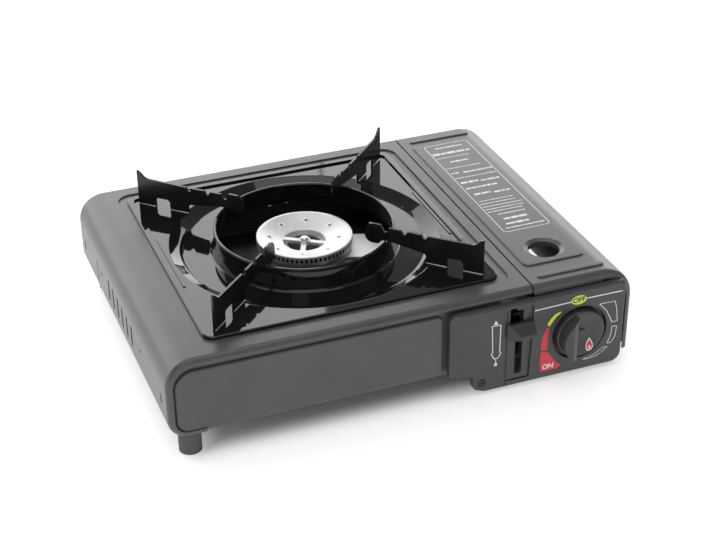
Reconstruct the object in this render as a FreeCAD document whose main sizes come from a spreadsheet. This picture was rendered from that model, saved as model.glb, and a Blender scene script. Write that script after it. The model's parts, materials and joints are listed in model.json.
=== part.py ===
import FreeCAD, Part
import math
import os
import Sketcher

# Butane cassette stove: a pressed body with a burner under an enamelled drip tray on the left, and a
# bay for a gas cartridge under a hinged lid on the right. Millimetres. +X is right as the user sees
# the knob, -Y is the front, +Z is up. The origin lies under the middle of the whole stove, on the table.

doc = FreeCAD.newDocument("CassetteStove")
sheet = doc.addObject("Spreadsheet::Sheet", "Sizes")

SIZES = [
    ("body_width", 343, "whole width of the pressed body and the lid"),
    ("body_depth", 255, "depth of the pressed body, front lip to rear lip"),
    ("deck_top", 77.5, "height of the deck above the table"),
    ("shell_bottom", 17.5, "underside of the burner side"),
    ("metal", 0.8, "thickness of the painted sheet steel"),
    ("shoulder_radius", 20, "round shoulder of the body at the top left"),
    ("belly_radius", 14, "round corner of the body at the bottom left"),
    ("lip_radius", 4, "rolled lip round the two ends of the body"),
    ("lip_depth", 4.6, "how far the rolled lip covers the end opening"),
    ("return_width", 26, "width of the sheet that turns in under the burner side"),
    ("seam_drop", 6, "depth of the turned down edges at the seam"),
    ("seam_gap", 1.2, "gap between the deck and the lid"),
    ("lid_width", 78.7, "width of the lid"),
    ("lid_bottom", 9, "height of the lower edge of the lid"),
    ("lid_shoulder", 24, "round shoulder of the lid"),
    ("emboss", 1, "height of the raised panel and the beads of the lid"),
    ("hole_radius", 11.5, "finger hole of the lid"),
    ("ear_thick", 1.5, "thickness of a lid ear"),
    ("bracket_thick", 1.5, "thickness of a hinge bracket"),
    ("plate_width", 34, "width of the heat plate"),
    ("plate_thick", 1.5, "thickness of the heat plate"),
    ("hinge_inset", 8, "hinge axis, in from the right side"),
    ("hinge_height", 13, "hinge axis above the table"),
    ("hinge_spread", 95, "each hinge, from the middle of the depth"),
    ("hinge_pin", 3, "diameter of a hinge pin"),
    ("pin_clearance", 0.08, "radial running clearance on a pin"),
    ("panel_recess", 3, "how far the end panels sit behind the lips"),
    ("panel_flange", 9, "flange of an end panel"),
    ("panel_field", 2.2, "how far the pressed field of an end panel stands out"),
    ("floor_height", 2.5, "underside of the cartridge tray"),
    ("bay_wall_drop", 9.5, "top of the end walls of the cartridge tray below the deck"),
    ("burner_offset", -30.6, "burner axis, from the middle of the width"),
    ("tray_side", 215, "side of the square drip tray"),
    ("tray_corner", 8, "corner radius of the drip tray"),
    ("tray_sheet", 0.8, "thickness of the enamelled sheet"),
    ("tray_rim", 2.3, "height of the rolled rim over the seat"),
    ("rim_width", 4.6, "width of the rolled rim"),
    ("seat_margin", 6.5, "pressed seat in the deck, outside the drip tray"),
    ("seat_depth", 1.2, "depth of that pressed seat"),
    ("dish_margin", 8.5, "flat left between the dish and the side of the drip tray"),
    ("dish_slope", 9, "width of the sloping wall round the dish"),
    ("dish_drop", 5.6, "depth of the dish below the flat of the drip tray"),
    ("collar_foot", 68.5, "radius of the collar where it leaves the dish"),
    ("collar_radius", 65.2, "outer radius of the collar at its rim"),
    ("collar_rise", 10.9, "top of the collar above the deck"),
    ("dish_clearance", 3.5, "deck hole, outside the dish"),
    ("support_thick", 1.6, "thickness of a pan support"),
    ("support_inset", 13, "outer edge of a pan support, in from the corner of the drip tray"),
    ("support_inner", 47, "inner end of a pan support"),
    ("support_rise", 21.9, "edge that carries the pan, above the deck"),
    ("support_tip", 27.3, "pointed tip above the deck"),
    ("head_radius", 35.3, "radius of the burner head"),
    ("head_rise", 2.3, "top of the burner head above the deck"),
    ("head_bore", 15.5, "radius of the opening in the burner head"),
    ("port_count", 64, "gas ports round the burner head"),
    ("base_radius", 31, "radius of the mixing chamber"),
    ("chamber_drop", 5.5, "top of the mixing chamber below the deck"),
    ("chamber_depth", 20, "height of the mixing chamber"),
    ("tube_drop", 17.5, "axis of the mixing tube below the deck"),
    ("tube_size", 12, "outer diameter of the mixing tube"),
    ("pipe_size", 6, "diameter of the gas pipe"),
    ("valve_inset", 45.3, "axis of the regulator and the cartridge, in from the right side"),
    ("valve_z", 37, "height of that axis"),
    ("dial_inset", 43.8, "axis of the knob and its stem, in from the right side"),
    ("dial_z", 35.5, "height of that axis"),
    ("stem_size", 6, "diameter of the valve stem"),
    ("panel_width", 135, "width of the control panel"),
    ("panel_inset", 8.5, "right edge of the control panel, in from the right side"),
    ("panel_drop", 7.5, "top edge of the control panel below the deck"),
    ("panel_low", 3.2, "bottom edge of the control panel"),
    ("panel_step", 19.5, "bottom edge of its left part"),
    ("ear_inset", 18, "where the panel steps down to its ear, from its left edge"),
    ("panel_proud", 5.5, "face of the control panel, in front of the lips"),
    ("panel_wall", 2, "wall of the control panel"),
    ("knob_size", 38.5, "diameter of the control knob"),
    ("knob_disc", 6.6, "depth of the disc of the knob"),
    ("knob_grip", 16.2, "depth of the knob with its grip"),
    ("knob_recess", 4, "depth of the round pocket behind the knob"),
    ("knob_margin", 2.3, "pocket, outside the knob"),
    ("knob_gap", 0.3, "gap between the knob and the panel"),
    ("lever_inset", 91.5, "middle of the lever slot, in from the right side"),
    ("lever_travel", 20, "travel of the lever"),
    ("carriage_travel", 9, "travel of the cartridge carriage"),
    ("follower_inset", 19, "follower pin at rest, behind the front"),
    ("follower_drop", 31.5, "follower pin below the deck"),
    ("lever_drop", 34.5, "lower edge of the lever handle below the deck"),
    ("follower_size", 4, "diameter of the follower pin"),
    ("foot_size", 16, "diameter of a tall foot"),
    ("foot_side", 16.2, "tall foot, in from the left side"),
    ("foot_end", 12.1, "tall foot, in from the front or rear"),
    ("vent_pitch", 13.4, "spacing of the side vents"),
    ("vent_count", 6, "number of side vents"),
    ("fit_gap", 0.3, "gap between a moving piece and its neighbour"),
]


class Size:
    """A length that knows its number and the sheet expression behind it."""

    def __init__(self, number, text):
        self.number = float(number)
        self.text = text

    def joined(self, sign, other, number):
        return Size(number, "(%s %s %s)" % (self.text, sign, sized(other).text))

    def __add__(self, other):
        return self.joined("+", other, self.number + sized(other).number)

    def __radd__(self, other):
        return sized(other) + self

    def __sub__(self, other):
        return self.joined("-", other, self.number - sized(other).number)

    def __rsub__(self, other):
        return sized(other) - self

    def __mul__(self, other):
        return self.joined("*", other, self.number * sized(other).number)

    def __rmul__(self, other):
        return sized(other) * self

    def __truediv__(self, other):
        return self.joined("/", other, self.number / sized(other).number)

    def __neg__(self):
        return Size(-self.number, "(0 - %s)" % self.text)


def sized(value):
    if isinstance(value, Size):
        return value
    return Size(value, repr(float(value)))


class SheetSizes:
    """Every alias of the sheet, as an attribute that is a Size."""


def fill_sheet():
    sizes = SheetSizes()
    for row, (alias, number, note) in enumerate(SIZES, start=1):
        sheet.set("A%d" % row, note)
        sheet.set("B%d" % row, str(number))
        sheet.setAlias("B%d" % row, alias)
        setattr(sizes, alias, Size(number, "Sizes." + alias))
    doc.recompute()
    return sizes


S = fill_sheet()

# Directions seen from above, in degrees from +X.
PLATE_TURN = -20.0
SUPPORT_TURNS = {"back_right": 45, "back_left": 135, "front_left": 225, "front_right": 315}

# Places that several pieces share, all from the sheet.
LEFT = -S.body_width / 2
RIGHT = S.body_width / 2
HALF_DEPTH = S.body_depth / 2
LID_LEFT = RIGHT - S.lid_width
DECK_RIGHT = LID_LEFT - S.seam_gap
DECK_UNDER = S.deck_top - S.metal
PARTITION_X = DECK_RIGHT - 2 * S.metal - 0.1
BAY_LEFT = PARTITION_X + S.metal
FLOOR_TOP = S.floor_height + S.metal
SEAT_TOP = S.deck_top - S.seat_depth
FLANGE_TOP = SEAT_TOP + S.tray_sheet
END_FACE = HALF_DEPTH - S.panel_recess
BASE_UNDER = S.shell_bottom + 2 * S.metal
BASE_TOP = BASE_UNDER + S.metal
HINGE_X = RIGHT - S.hinge_inset
PANEL_FACE = HALF_DEPTH + S.panel_proud
KNOB_BACK = PANEL_FACE - S.knob_recess + S.knob_gap
MIDDLE = (S.panel_proud - S.knob_recess + S.knob_gap + S.knob_grip) / 2
VALVE_X = RIGHT - S.valve_inset
DIAL_X = RIGHT - S.dial_inset
PANEL_RIGHT = RIGHT - S.panel_inset
PANEL_LEFT = PANEL_RIGHT - S.panel_width
PANEL_TOP = S.deck_top - S.panel_drop
EAR_LEFT = PANEL_LEFT + S.ear_inset
EAR_X = EAR_LEFT + 6.8
EAR_Z = 10.5
LEVER_X = RIGHT - S.lever_inset
LEVER_LOW = S.deck_top - S.lever_drop
FOLLOWER_Y = -(HALF_DEPTH - S.follower_inset)
FOLLOWER_Z = S.deck_top - S.follower_drop
BAY_WALL_TOP = S.deck_top - S.bay_wall_drop
DISH_RADIUS = S.tray_side / 2 - S.dish_margin
DISH_FLOOR = FLANGE_TOP - S.dish_drop
COLLAR_TOP = S.deck_top + S.collar_rise
SUPPORT_OUTER = S.tray_side / 2 ** 0.5 - S.support_inset
SUPPORT_TOP = S.deck_top + S.support_rise
SUPPORT_TIP = S.deck_top + S.support_tip
SUPPORT_LEG = DISH_RADIUS - 3
SUPPORT_TAB = DISH_RADIUS + 1.5
HEAD_TOP = S.deck_top + S.head_rise
CHAMBER_TOP = S.deck_top - S.chamber_drop
CHAMBER_STEP = CHAMBER_TOP - 4
CHAMBER_BOTTOM = CHAMBER_TOP - S.chamber_depth
TUBE_HEIGHT = S.deck_top - S.tube_drop
REGULATOR_LEFT = VALVE_X - 23.2
REGULATOR_END = END_FACE - S.metal - 31
PIPE_Y = -(REGULATOR_END + 5.3)
CORNER_REACH = (PARTITION_X + 3.1 - S.burner_offset).number
TUBE_TURN = math.degrees(math.atan2(PIPE_Y.number, CORNER_REACH))
TUBE_REACH = math.hypot(PIPE_Y.number, CORNER_REACH) - 19.8
IGNITER_X = VALVE_X - 22.2
ELECTRODE_TURN = -80.0
SPOKE_TURN = -34.0
TAB_LENGTH = 6.0
TAB_GAP = 0.1
WIRE_SIZE = 2.4
WIRE_Y = -(END_FACE - 41.5)
WIRE_Z = 30.0


class Piece:
    """One sub-part: a body with its own label, sketches and features."""

    def __init__(self, label, x=0.0, y=0.0, z=0.0, turn=0.0):
        self.body = doc.addObject("PartDesign::Body", label)
        self.body.Label = label
        self.body.Placement.Rotation = FreeCAD.Rotation(FreeCAD.Vector(0, 0, 1), turn)
        self.bind(self.body, "Placement.Base.x", x)
        self.bind(self.body, "Placement.Base.y", MIDDLE + y)
        self.bind(self.body, "Placement.Base.z", z)

    def bind(self, thing, name, value):
        thing.setExpression(name, sized(value).text)

    def origin(self, role):
        for feature in self.body.Origin.OriginFeatures:
            if feature.Role == role:
                return feature
        raise ValueError("no origin feature " + role)

    def sketch(self, plane, offset=0.0, across=0.0, up=0.0, turn=0.0):
        """A sketch parallel to an origin plane. XZ faces the front, YZ the right, XY up."""
        sketch = self.body.newObject("Sketcher::SketchObject", self.body.Name + "_sketch")
        sketch.AttachmentSupport = [(self.origin(plane + "_Plane"), "")]
        sketch.MapMode = "FlatFace"
        sketch.AttachmentOffset.Rotation = FreeCAD.Rotation(FreeCAD.Vector(0, 0, 1), turn)
        self.bind(sketch, "AttachmentOffset.Base.x", across)
        self.bind(sketch, "AttachmentOffset.Base.y", up)
        self.bind(sketch, "AttachmentOffset.Base.z", offset)
        return sketch

    def pin(self, sketch, geometry, point, across, up):
        """Ties one point of a sketch to its place, each way from the sketch origin."""
        ways = (("DistanceX", across, -2), ("DistanceY", up, -1))
        for kind, value, axis in ways:
            value = sized(value)
            if abs(value.number) < 1e-9:
                sketch.addConstraint(Sketcher.Constraint("PointOnObject", geometry, point, axis))
                continue
            item = Sketcher.Constraint(kind, -1, 1, geometry, point, value.number)
            index = sketch.addConstraint(item)
            self.bind(sketch, "Constraints[%d]" % index, value)

    def outline(self, sketch, corners):
        """A closed outline. A corner is (across, up) or (across, up, radius)."""
        points = [FreeCAD.Vector(sized(c[0]).number, sized(c[1]).number, 0) for c in corners]
        count = len(corners)
        starts = []
        ends = []
        for index in range(count):
            here = points[index]
            if len(corners[index]) == 2:
                starts.append(here)
                ends.append(here)
                continue
            radius = sized(corners[index][2]).number
            before = (points[index - 1] - here).normalize()
            after = (points[(index + 1) % count] - here).normalize()
            reach = radius / math.tan(before.getAngle(after) / 2)
            ends.append(here + before * reach)
            starts.append(here + after * reach)
        lines = []
        for index in range(count):
            line = Part.LineSegment(starts[index], ends[(index + 1) % count])
            lines.append(sketch.addGeometry(line, False))
        for index in range(count):
            last = lines[index - 1]
            following = lines[index]
            if len(corners[index]) == 2:
                sketch.addConstraint(Sketcher.Constraint("Coincident", last, 2, following, 1))
                self.pin(sketch, following, 1, corners[index][0], corners[index][1])
                continue
            self.round_corner(sketch, corners[index], points[index], last, following)

    def round_corner(self, sketch, corner, point, last, following):
        """An arc that touches both lines, whose meeting point stays pinned."""
        radius = sized(corner[2])
        start = sketch.getPoint(last, 2)
        end = sketch.getPoint(following, 1)
        inward = ((start + end) * 0.5 - point).normalize()
        half = (start - point).getAngle(end - point) / 2
        centre = point + inward * (radius.number / math.sin(half))
        middle = centre - inward * radius.number
        arc = sketch.addGeometry(Part.Arc(start, middle, end), False)
        # An arc always runs counterclockwise, so its first end may lie on either line.
        first_end = 1 if sketch.getPoint(arc, 1).isEqual(start, 1e-6) else 2
        other_end = 3 - first_end
        sketch.addConstraint(Sketcher.Constraint("Tangent", last, 2, arc, first_end))
        sketch.addConstraint(Sketcher.Constraint("Tangent", following, 1, arc, other_end))
        item = sketch.addConstraint(Sketcher.Constraint("Radius", arc, radius.number))
        self.bind(sketch, "Constraints[%d]" % item, radius)
        meeting = sketch.addGeometry(Part.Point(point), True)
        sketch.addConstraint(Sketcher.Constraint("PointOnObject", meeting, 1, last))
        sketch.addConstraint(Sketcher.Constraint("PointOnObject", meeting, 1, following))
        self.pin(sketch, meeting, 1, corner[0], corner[1])

    def rectangle(self, sketch, low, high, radius=None):
        extra = () if radius is None else (radius,)
        corners = [(low[0], low[1]), (high[0], low[1]), (high[0], high[1]), (low[0], high[1])]
        self.outline(sketch, [corner + extra for corner in corners])

    def circle(self, sketch, across, up, radius):
        centre = FreeCAD.Vector(sized(across).number, sized(up).number, 0)
        normal = FreeCAD.Vector(0, 0, 1)
        ring = sketch.addGeometry(Part.Circle(centre, normal, sized(radius).number), False)
        item = sketch.addConstraint(Sketcher.Constraint("Radius", ring, sized(radius).number))
        self.bind(sketch, "Constraints[%d]" % item, radius)
        self.pin(sketch, ring, 3, across, up)

    def volume(self):
        doc.recompute()
        return self.body.Shape.Volume

    def feature(self, kind, sketch, length, back):
        before = 0.0 if self.body.Tip is None else self.volume()
        feature = self.body.newObject("PartDesign::" + kind, self.body.Name + "_" + kind)
        feature.Profile = sketch
        feature.Reversed = back
        self.bind(feature, "Length", length)
        change = self.volume() - before
        if (kind == "Pad") != (change > 0) or abs(change) < 1e-3:
            raise ValueError("%s of %s changes nothing" % (kind, self.body.Label))
        return feature

    def pad(self, sketch, length, back=False):
        """Adds along the sketch normal, or against it when back is set."""
        return self.feature("Pad", sketch, length, back)

    def cut(self, sketch, length, back=False):
        """Cuts against the sketch normal, or along it when back is set."""
        return self.feature("Pocket", sketch, length, back)

    def turned(self, sketch, kind="Revolution", axis="V_Axis"):
        """Turns a sketch about its own vertical axis, or about its horizontal one."""
        feature = self.body.newObject("PartDesign::" + kind, self.body.Name + "_" + kind)
        feature.Profile = sketch
        feature.ReferenceAxis = (sketch, [axis])
        feature.Angle = 360
        self.volume()
        return feature

    def names(self, word, shapes, test):
        found = ["%s%d" % (word, index) for index, item in enumerate(shapes, 1) if test(item)]
        if not found:
            raise ValueError("no %s found on %s" % (word, self.body.Label))
        return found

    def fillet(self, radius, test, kind="Fillet"):
        self.volume()
        tip = self.body.Tip
        edges = self.names("Edge", tip.Shape.Edges, test)
        feature = self.body.newObject("PartDesign::" + kind, self.body.Name + "_" + kind)
        feature.Base = (tip, edges)
        self.bind(feature, "Radius" if kind == "Fillet" else "Size", radius)
        self.volume()
        return feature

    def shell(self, thickness, test):
        """Hollows the piece to a wall and opens the faces that pass the test."""
        before = self.volume()
        tip = self.body.Tip
        faces = self.names("Face", tip.Shape.Faces, test)
        feature = self.body.newObject("PartDesign::Thickness", self.body.Name + "_Thickness")
        feature.Base = (tip, faces)
        feature.Reversed = True
        self.bind(feature, "Value", thickness)
        if self.volume() >= before:
            raise ValueError("the shell of %s is not hollow" % self.body.Label)
        return feature

    def polar(self, feature, count, axis="Z_Axis"):
        pattern = self.body.newObject("PartDesign::PolarPattern", self.body.Name + "_polar")
        pattern.Originals = [feature]
        pattern.Axis = (self.origin(axis), [""])
        pattern.Angle = 360
        self.bind(pattern, "Occurrences", count)
        self.body.Tip = pattern
        self.volume()
        return pattern

    def row(self, feature, axis, length, count, back=False):
        pattern = self.body.newObject("PartDesign::LinearPattern", self.body.Name + "_row")
        pattern.Originals = [feature]
        pattern.Direction = (self.origin(axis), [""])
        pattern.Reversed = back
        self.bind(pattern, "Length", length)
        self.bind(pattern, "Occurrences", count)
        self.body.Tip = pattern
        self.volume()
        return pattern

    def mirror(self, features, plane):
        pattern = self.body.newObject("PartDesign::Mirrored", self.body.Name + "_mirror")
        pattern.Originals = features
        pattern.MirrorPlane = (self.origin(plane + "_Plane"), [""])
        self.body.Tip = pattern
        self.volume()
        return pattern


def near(value, target, tolerance=0.02):
    return abs(value - sized(target).number) < tolerance


def flat_at(face, axis, target):
    """True for a plane square to an axis (0 is X, 1 is Y, 2 is Z) at the given place."""
    if not isinstance(face.Surface, Part.Plane):
        return False
    box = face.BoundBox
    low = (box.XMin, box.YMin, box.ZMin)[axis]
    high = (box.XMax, box.YMax, box.ZMax)[axis]
    return near(low, target) and near(high, target)


def edge_at(edge, axis, target):
    """True for an edge that lies wholly at one place along an axis."""
    box = edge.BoundBox
    low = (box.XMin, box.YMin, box.ZMin)[axis]
    high = (box.XMax, box.YMax, box.ZMax)[axis]
    return near(low, target) and near(high, target)


def body_shell():
    """The wrap: deck, rounded left side and a narrow return underneath, in one pressing."""
    piece = Piece("body_shell")
    block = piece.sketch("XZ", HALF_DEPTH)
    piece.outline(block, [
        (LEFT, S.shell_bottom, S.belly_radius),
        (DECK_RIGHT, S.shell_bottom),
        (DECK_RIGHT, S.deck_top),
        (LEFT, S.deck_top, S.shoulder_radius),
    ])
    piece.pad(block, S.body_depth, back=True)
    ends = lambda edge: edge_at(edge, 1, -HALF_DEPTH) or edge_at(edge, 1, HALF_DEPTH)
    piece.fillet(S.lip_radius, lambda edge: ends(edge) and not edge_at(edge, 0, DECK_RIGHT))
    seat = piece.sketch("XY", S.deck_top)
    reach = S.tray_side / 2 + S.seat_margin
    piece.rectangle(seat, (S.burner_offset - reach, -reach), (S.burner_offset + reach, reach), 12)
    piece.cut(seat, S.seat_depth)
    piece.shell(S.metal, lambda face: flat_at(face, 0, DECK_RIGHT))
    mouth = piece.sketch("XZ", HALF_DEPTH + 1)
    piece.outline(mouth, [
        (LEFT + S.lip_depth, S.shell_bottom + S.lip_depth, S.belly_radius - S.lip_depth),
        (LEFT + S.return_width, S.shell_bottom + S.lip_depth),
        (LEFT + S.return_width, S.shell_bottom - 5),
        (DECK_RIGHT + 5, S.shell_bottom - 5),
        (DECK_RIGHT + 5, S.deck_top - S.lip_depth),
        (LEFT + S.lip_depth, S.deck_top - S.lip_depth, S.shoulder_radius - S.lip_depth),
    ])
    piece.cut(mouth, S.body_depth + 2)
    edge = piece.sketch("XZ", HALF_DEPTH - S.lip_radius)
    piece.rectangle(edge, (DECK_RIGHT - S.metal, S.deck_top - S.seam_drop),
                    (DECK_RIGHT, S.deck_top - S.metal / 2))
    piece.pad(edge, S.body_depth - 2 * S.lip_radius, back=True)
    hole = piece.sketch("XY", S.deck_top)
    piece.circle(hole, S.burner_offset, 0, DISH_RADIUS + S.dish_clearance)
    piece.cut(hole, 5)
    side_openings(piece)
    return piece


def side_openings(piece):
    """Six vents, two long thin slots and two short ones in the left side."""
    low = S.shell_bottom + 19
    high = low + 17
    vent = piece.sketch("YZ", LEFT - 1)
    first = (S.vent_count - 1) * S.vent_pitch / 2
    piece.rectangle(vent, (first - 1.8, low), (first + 1.8, high), 1.7)
    first_vent = piece.cut(vent, 4, back=True)
    piece.row(first_vent, "Y_Axis", (S.vent_count - 1) * S.vent_pitch, S.vent_count, back=True)
    slots = piece.sketch("YZ", LEFT - 1)
    piece.rectangle(slots, (69, low - 3), (70.8, high - 1), 0.8)
    for middle in (-111, 111):
        piece.rectangle(slots, (middle - 1.2, low + 2), (middle + 1.2, low + 10), 1.1)
    for middle in (-57, 56):
        piece.circle(slots, middle, S.deck_top - 31, 1.6)
    piece.cut(slots, 4, back=True)
    return piece


def end_panel(label, side):
    """A pan that closes one end of the burner side; side is -1 at the front, 1 at the rear."""
    piece = Piece(label)
    front = side < 0
    face = piece.sketch("XZ", -side * END_FACE)
    right = PARTITION_X
    piece.outline(face, [
        (LEFT + S.metal, S.shell_bottom + S.metal, S.belly_radius - S.metal),
        (right, S.shell_bottom + S.metal, 3.5),
        (right, DECK_UNDER, 3.5),
        (LEFT + S.metal, DECK_UNDER, S.shoulder_radius - S.metal),
    ])
    piece.pad(face, S.panel_flange, back=front)
    field = piece.sketch("XZ", -side * END_FACE)
    field_right = PANEL_LEFT - 2.5 if front else right - 9
    piece.outline(field, [
        (LEFT + 5.6, S.shell_bottom + 3, S.belly_radius - 4),
        (field_right, S.shell_bottom + 3, 3),
        (field_right, S.deck_top - 8.5, 5),
        (LEFT + 5.6, S.deck_top - 8.5, S.shoulder_radius - 5.6),
    ])
    piece.pad(field, S.panel_field, back=not front)
    outer = side * (END_FACE + S.panel_field)
    piece.fillet(1.9, lambda edge: edge_at(edge, 1, outer))
    piece.fillet(1.8, lambda edge: edge_at(edge, 1, side * END_FACE) and outside_edge(edge, right))
    inner = side * (END_FACE - S.panel_flange)
    piece.shell(S.metal, lambda surface: flat_at(surface, 1, inner))
    return piece


def outside_edge(edge, right):
    """True for the outline of the pan, which reaches nearer the body's outside than its field."""
    box = edge.BoundBox
    return (box.XMin < sized(LEFT).number + 3 or box.XMax > sized(right).number - 3
            or box.ZMax > sized(S.deck_top).number - 6 or box.ZMin < sized(S.shell_bottom).number + 2)


def front_panel():
    """Front pan, with a window for the lever and a slot for the follower pin in its right flange."""
    piece = end_panel("front_panel", -1)
    window = piece.sketch("XZ", HALF_DEPTH + 1)
    piece.rectangle(window, (LEVER_X - 5, BASE_TOP + 3), (LEVER_X + 5, S.deck_top - 16), 1)
    piece.cut(window, 8)
    slot = piece.sketch("YZ", PARTITION_X + 1)
    half = S.follower_size / 2 + S.fit_gap
    reach = FOLLOWER_Y - S.carriage_travel - half
    piece.rectangle(slot, (reach, FOLLOWER_Z - half), (-END_FACE + S.panel_flange + 2, FOLLOWER_Z + half))
    piece.cut(slot, 3)
    return piece


def rear_panel():
    """Rear pan, with a row of vents."""
    piece = end_panel("rear_panel", 1)
    vent = piece.sketch("XZ", -(HALF_DEPTH - 8))
    piece.rectangle(vent, (-110, 38), (-104, 58), 2.8)
    first = piece.cut(vent, 10)
    piece.row(first, "X_Axis", 150, 11)
    return piece


def base_plate():
    """The flat bottom of the burner side, on the flanges of the two end panels."""
    piece = Piece("base_plate")
    plate = piece.sketch("XY", BASE_UNDER)
    low = (LEFT + S.belly_radius + 0.3, -(HALF_DEPTH - 5.5))
    high = (PARTITION_X - 3.6, HALF_DEPTH - 5.5)
    piece.rectangle(plate, low, high)
    piece.pad(plate, S.metal)
    vent = piece.sketch("XY", BASE_TOP + 1)
    piece.rectangle(vent, (S.burner_offset - 62, -30), (S.burner_offset - 57, 30), 2.4)
    first = piece.cut(vent, 3)
    piece.row(first, "X_Axis", 120, 7)
    return piece


def cartridge_tray():
    """Floor of the bay with a wall at each end, bent from one sheet."""
    piece = Piece("cartridge_tray")
    right = HINGE_X - 1.5
    block = piece.sketch("XZ", END_FACE)
    piece.outline(block, [
        (BAY_LEFT, S.floor_height),
        (right, S.floor_height),
        (right, BAY_WALL_TOP, S.lid_shoulder - 4),
        (BAY_LEFT, BAY_WALL_TOP),
    ])
    piece.pad(block, 2 * END_FACE, back=True)
    inside = piece.sketch("XY", BAY_WALL_TOP + 1)
    wall = END_FACE - S.metal
    piece.rectangle(inside, (BAY_LEFT - 1, -wall), (right + 1, wall))
    piece.cut(inside, BAY_WALL_TOP + 1 - FLOOR_TOP)
    valve = piece.sketch("XZ", END_FACE + 1)
    piece.circle(valve, DIAL_X, S.dial_z, S.stem_size / 2 + 3)
    piece.cut(valve, 3)
    relief = piece.sketch("XZ", END_FACE + 1)
    piece.rectangle(relief, (right - 4, FLOOR_TOP), (right + 1, FLOOR_TOP + 5))
    piece.cut(relief, 2 * END_FACE + 2)
    vent = piece.sketch("XY", FLOOR_TOP + 1)
    piece.rectangle(vent, (VALVE_X - 15, -62), (VALVE_X + 15, -58), 1.9)
    first = piece.cut(vent, 3)
    piece.row(first, "Y_Axis", 120, 5)
    return piece


def partition():
    """Upright sheet between the burner side and the bay."""
    piece = Piece("partition")
    plate = piece.sketch("YZ", PARTITION_X)
    reach = END_FACE - 1.5
    piece.rectangle(plate, (-reach, S.floor_height), (reach, DECK_UNDER))
    piece.pad(plate, S.metal)
    holes = piece.sketch("YZ", PARTITION_X + S.metal + 1)
    half = S.follower_size / 2 + S.fit_gap
    low = (FOLLOWER_Y - S.carriage_travel - half, FOLLOWER_Z - half)
    piece.rectangle(holes, low, (FOLLOWER_Y + half, FOLLOWER_Z + half), 2)
    piece.circle(holes, PIPE_Y + 2, TUBE_HEIGHT, S.pipe_size / 2 + 2)
    piece.circle(holes, WIRE_Y, WIRE_Z, 2.5)
    middle = (PARTITION_X - S.burner_offset) * math.tan(math.radians(PLATE_TURN))
    across = S.plate_width / 2 / math.cos(math.radians(PLATE_TURN)) + 1
    plate_low = (middle - across, CHAMBER_STEP - 1)
    piece.rectangle(holes, plate_low, (middle + across, CHAMBER_STEP + S.plate_thick + 1))
    piece.cut(holes, 4)
    vent = piece.sketch("YZ", PARTITION_X + S.metal + 1)
    piece.rectangle(vent, (5, 24), (9, 36), 1.9)
    first = piece.cut(vent, 4)
    piece.row(first, "Y_Axis", 90, 7)
    return piece


def lid():
    """Cover of the cartridge bay, pressed with beads, a raised panel and a finger hole."""
    piece = Piece("lid")
    block = piece.sketch("XZ", HALF_DEPTH)
    piece.outline(block, [
        (LID_LEFT, S.lid_bottom),
        (RIGHT, S.lid_bottom),
        (RIGHT, S.deck_top, S.lid_shoulder),
        (LID_LEFT, S.deck_top),
    ])
    piece.pad(block, S.body_depth, back=True)
    ends = lambda edge: edge_at(edge, 1, -HALF_DEPTH) or edge_at(edge, 1, HALF_DEPTH)
    skipped = lambda edge: edge_at(edge, 0, LID_LEFT) or edge_at(edge, 2, S.lid_bottom)
    piece.fillet(S.lip_radius, lambda edge: ends(edge) and not skipped(edge))
    raised = piece.sketch("XY", S.deck_top)
    piece.rectangle(raised, (LID_LEFT + 6, -101), (RIGHT - S.lid_shoulder - 1, 107), 5)
    piece.pad(raised, S.emboss)
    piece.fillet(S.emboss * 0.9, lambda edge: edge_at(edge, 2, S.deck_top + S.emboss))
    piece.shell(S.metal, lambda face: flat_at(face, 2, S.lid_bottom))
    mouth = piece.sketch("XZ", HALF_DEPTH + 1)
    piece.outline(mouth, [
        (LID_LEFT - 5, S.lid_bottom - 5),
        (RIGHT - S.lip_depth, S.lid_bottom - 5),
        (RIGHT - S.lip_depth, S.deck_top - S.seam_drop, S.lid_shoulder - S.lip_depth),
        (LID_LEFT - 5, S.deck_top - S.seam_drop),
    ])
    piece.cut(mouth, S.body_depth + 2)
    finger_hole(piece)
    lid_beads(piece)
    hinge_ears(piece)
    return piece


def finger_hole(piece):
    """A round hole with a dished rim, near the front of the lid."""
    across = RIGHT - 48.6
    back = -82
    opening = piece.sketch("XY", S.deck_top + S.emboss + 1)
    piece.circle(opening, across, back, S.hole_radius + 3.3)
    piece.cut(opening, 5)
    rim = piece.sketch("XZ", -sized(back), across=across)
    top = S.deck_top + S.emboss
    bore = S.hole_radius
    piece.outline(rim, [
        (bore + 3.8, top - S.metal),
        (bore + 3.8, top),
        (bore + 3, top),
        (bore, top - 1.5),
        (bore, top - 5),
        (bore + S.metal, top - 5),
        (bore + S.metal, top - 2),
        (bore + 3.2, top - S.metal),
    ])
    piece.turned(rim)


def lid_beads(piece):
    """A low bead across the lid in front of the raised panel, and one behind it."""
    bead = piece.sketch("XY", S.deck_top - S.metal / 2)
    for middle in (-116, 114.5):
        low = (LID_LEFT + 8, middle - 2.4)
        piece.rectangle(bead, low, (RIGHT - S.lid_shoulder + 5, middle + 2.4), 2.3)
    piece.pad(bead, S.metal / 2 + S.emboss)
    top = S.deck_top + S.emboss
    round_edges = lambda edge: edge_at(edge, 2, top) and abs(edge.BoundBox.Center.y) > 111
    piece.fillet(S.emboss * 0.9, round_edges)


def hinge_ears(piece):
    """Two ears on the side wall of the lid, each with a bore for its hinge pin."""
    ear = piece.sketch("XZ", -S.hinge_spread)
    hinge_outline(piece, ear, RIGHT - S.metal / 2)
    first = piece.pad(ear, S.ear_thick)
    piece.mirror([first], "XZ")
    return piece


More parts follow.
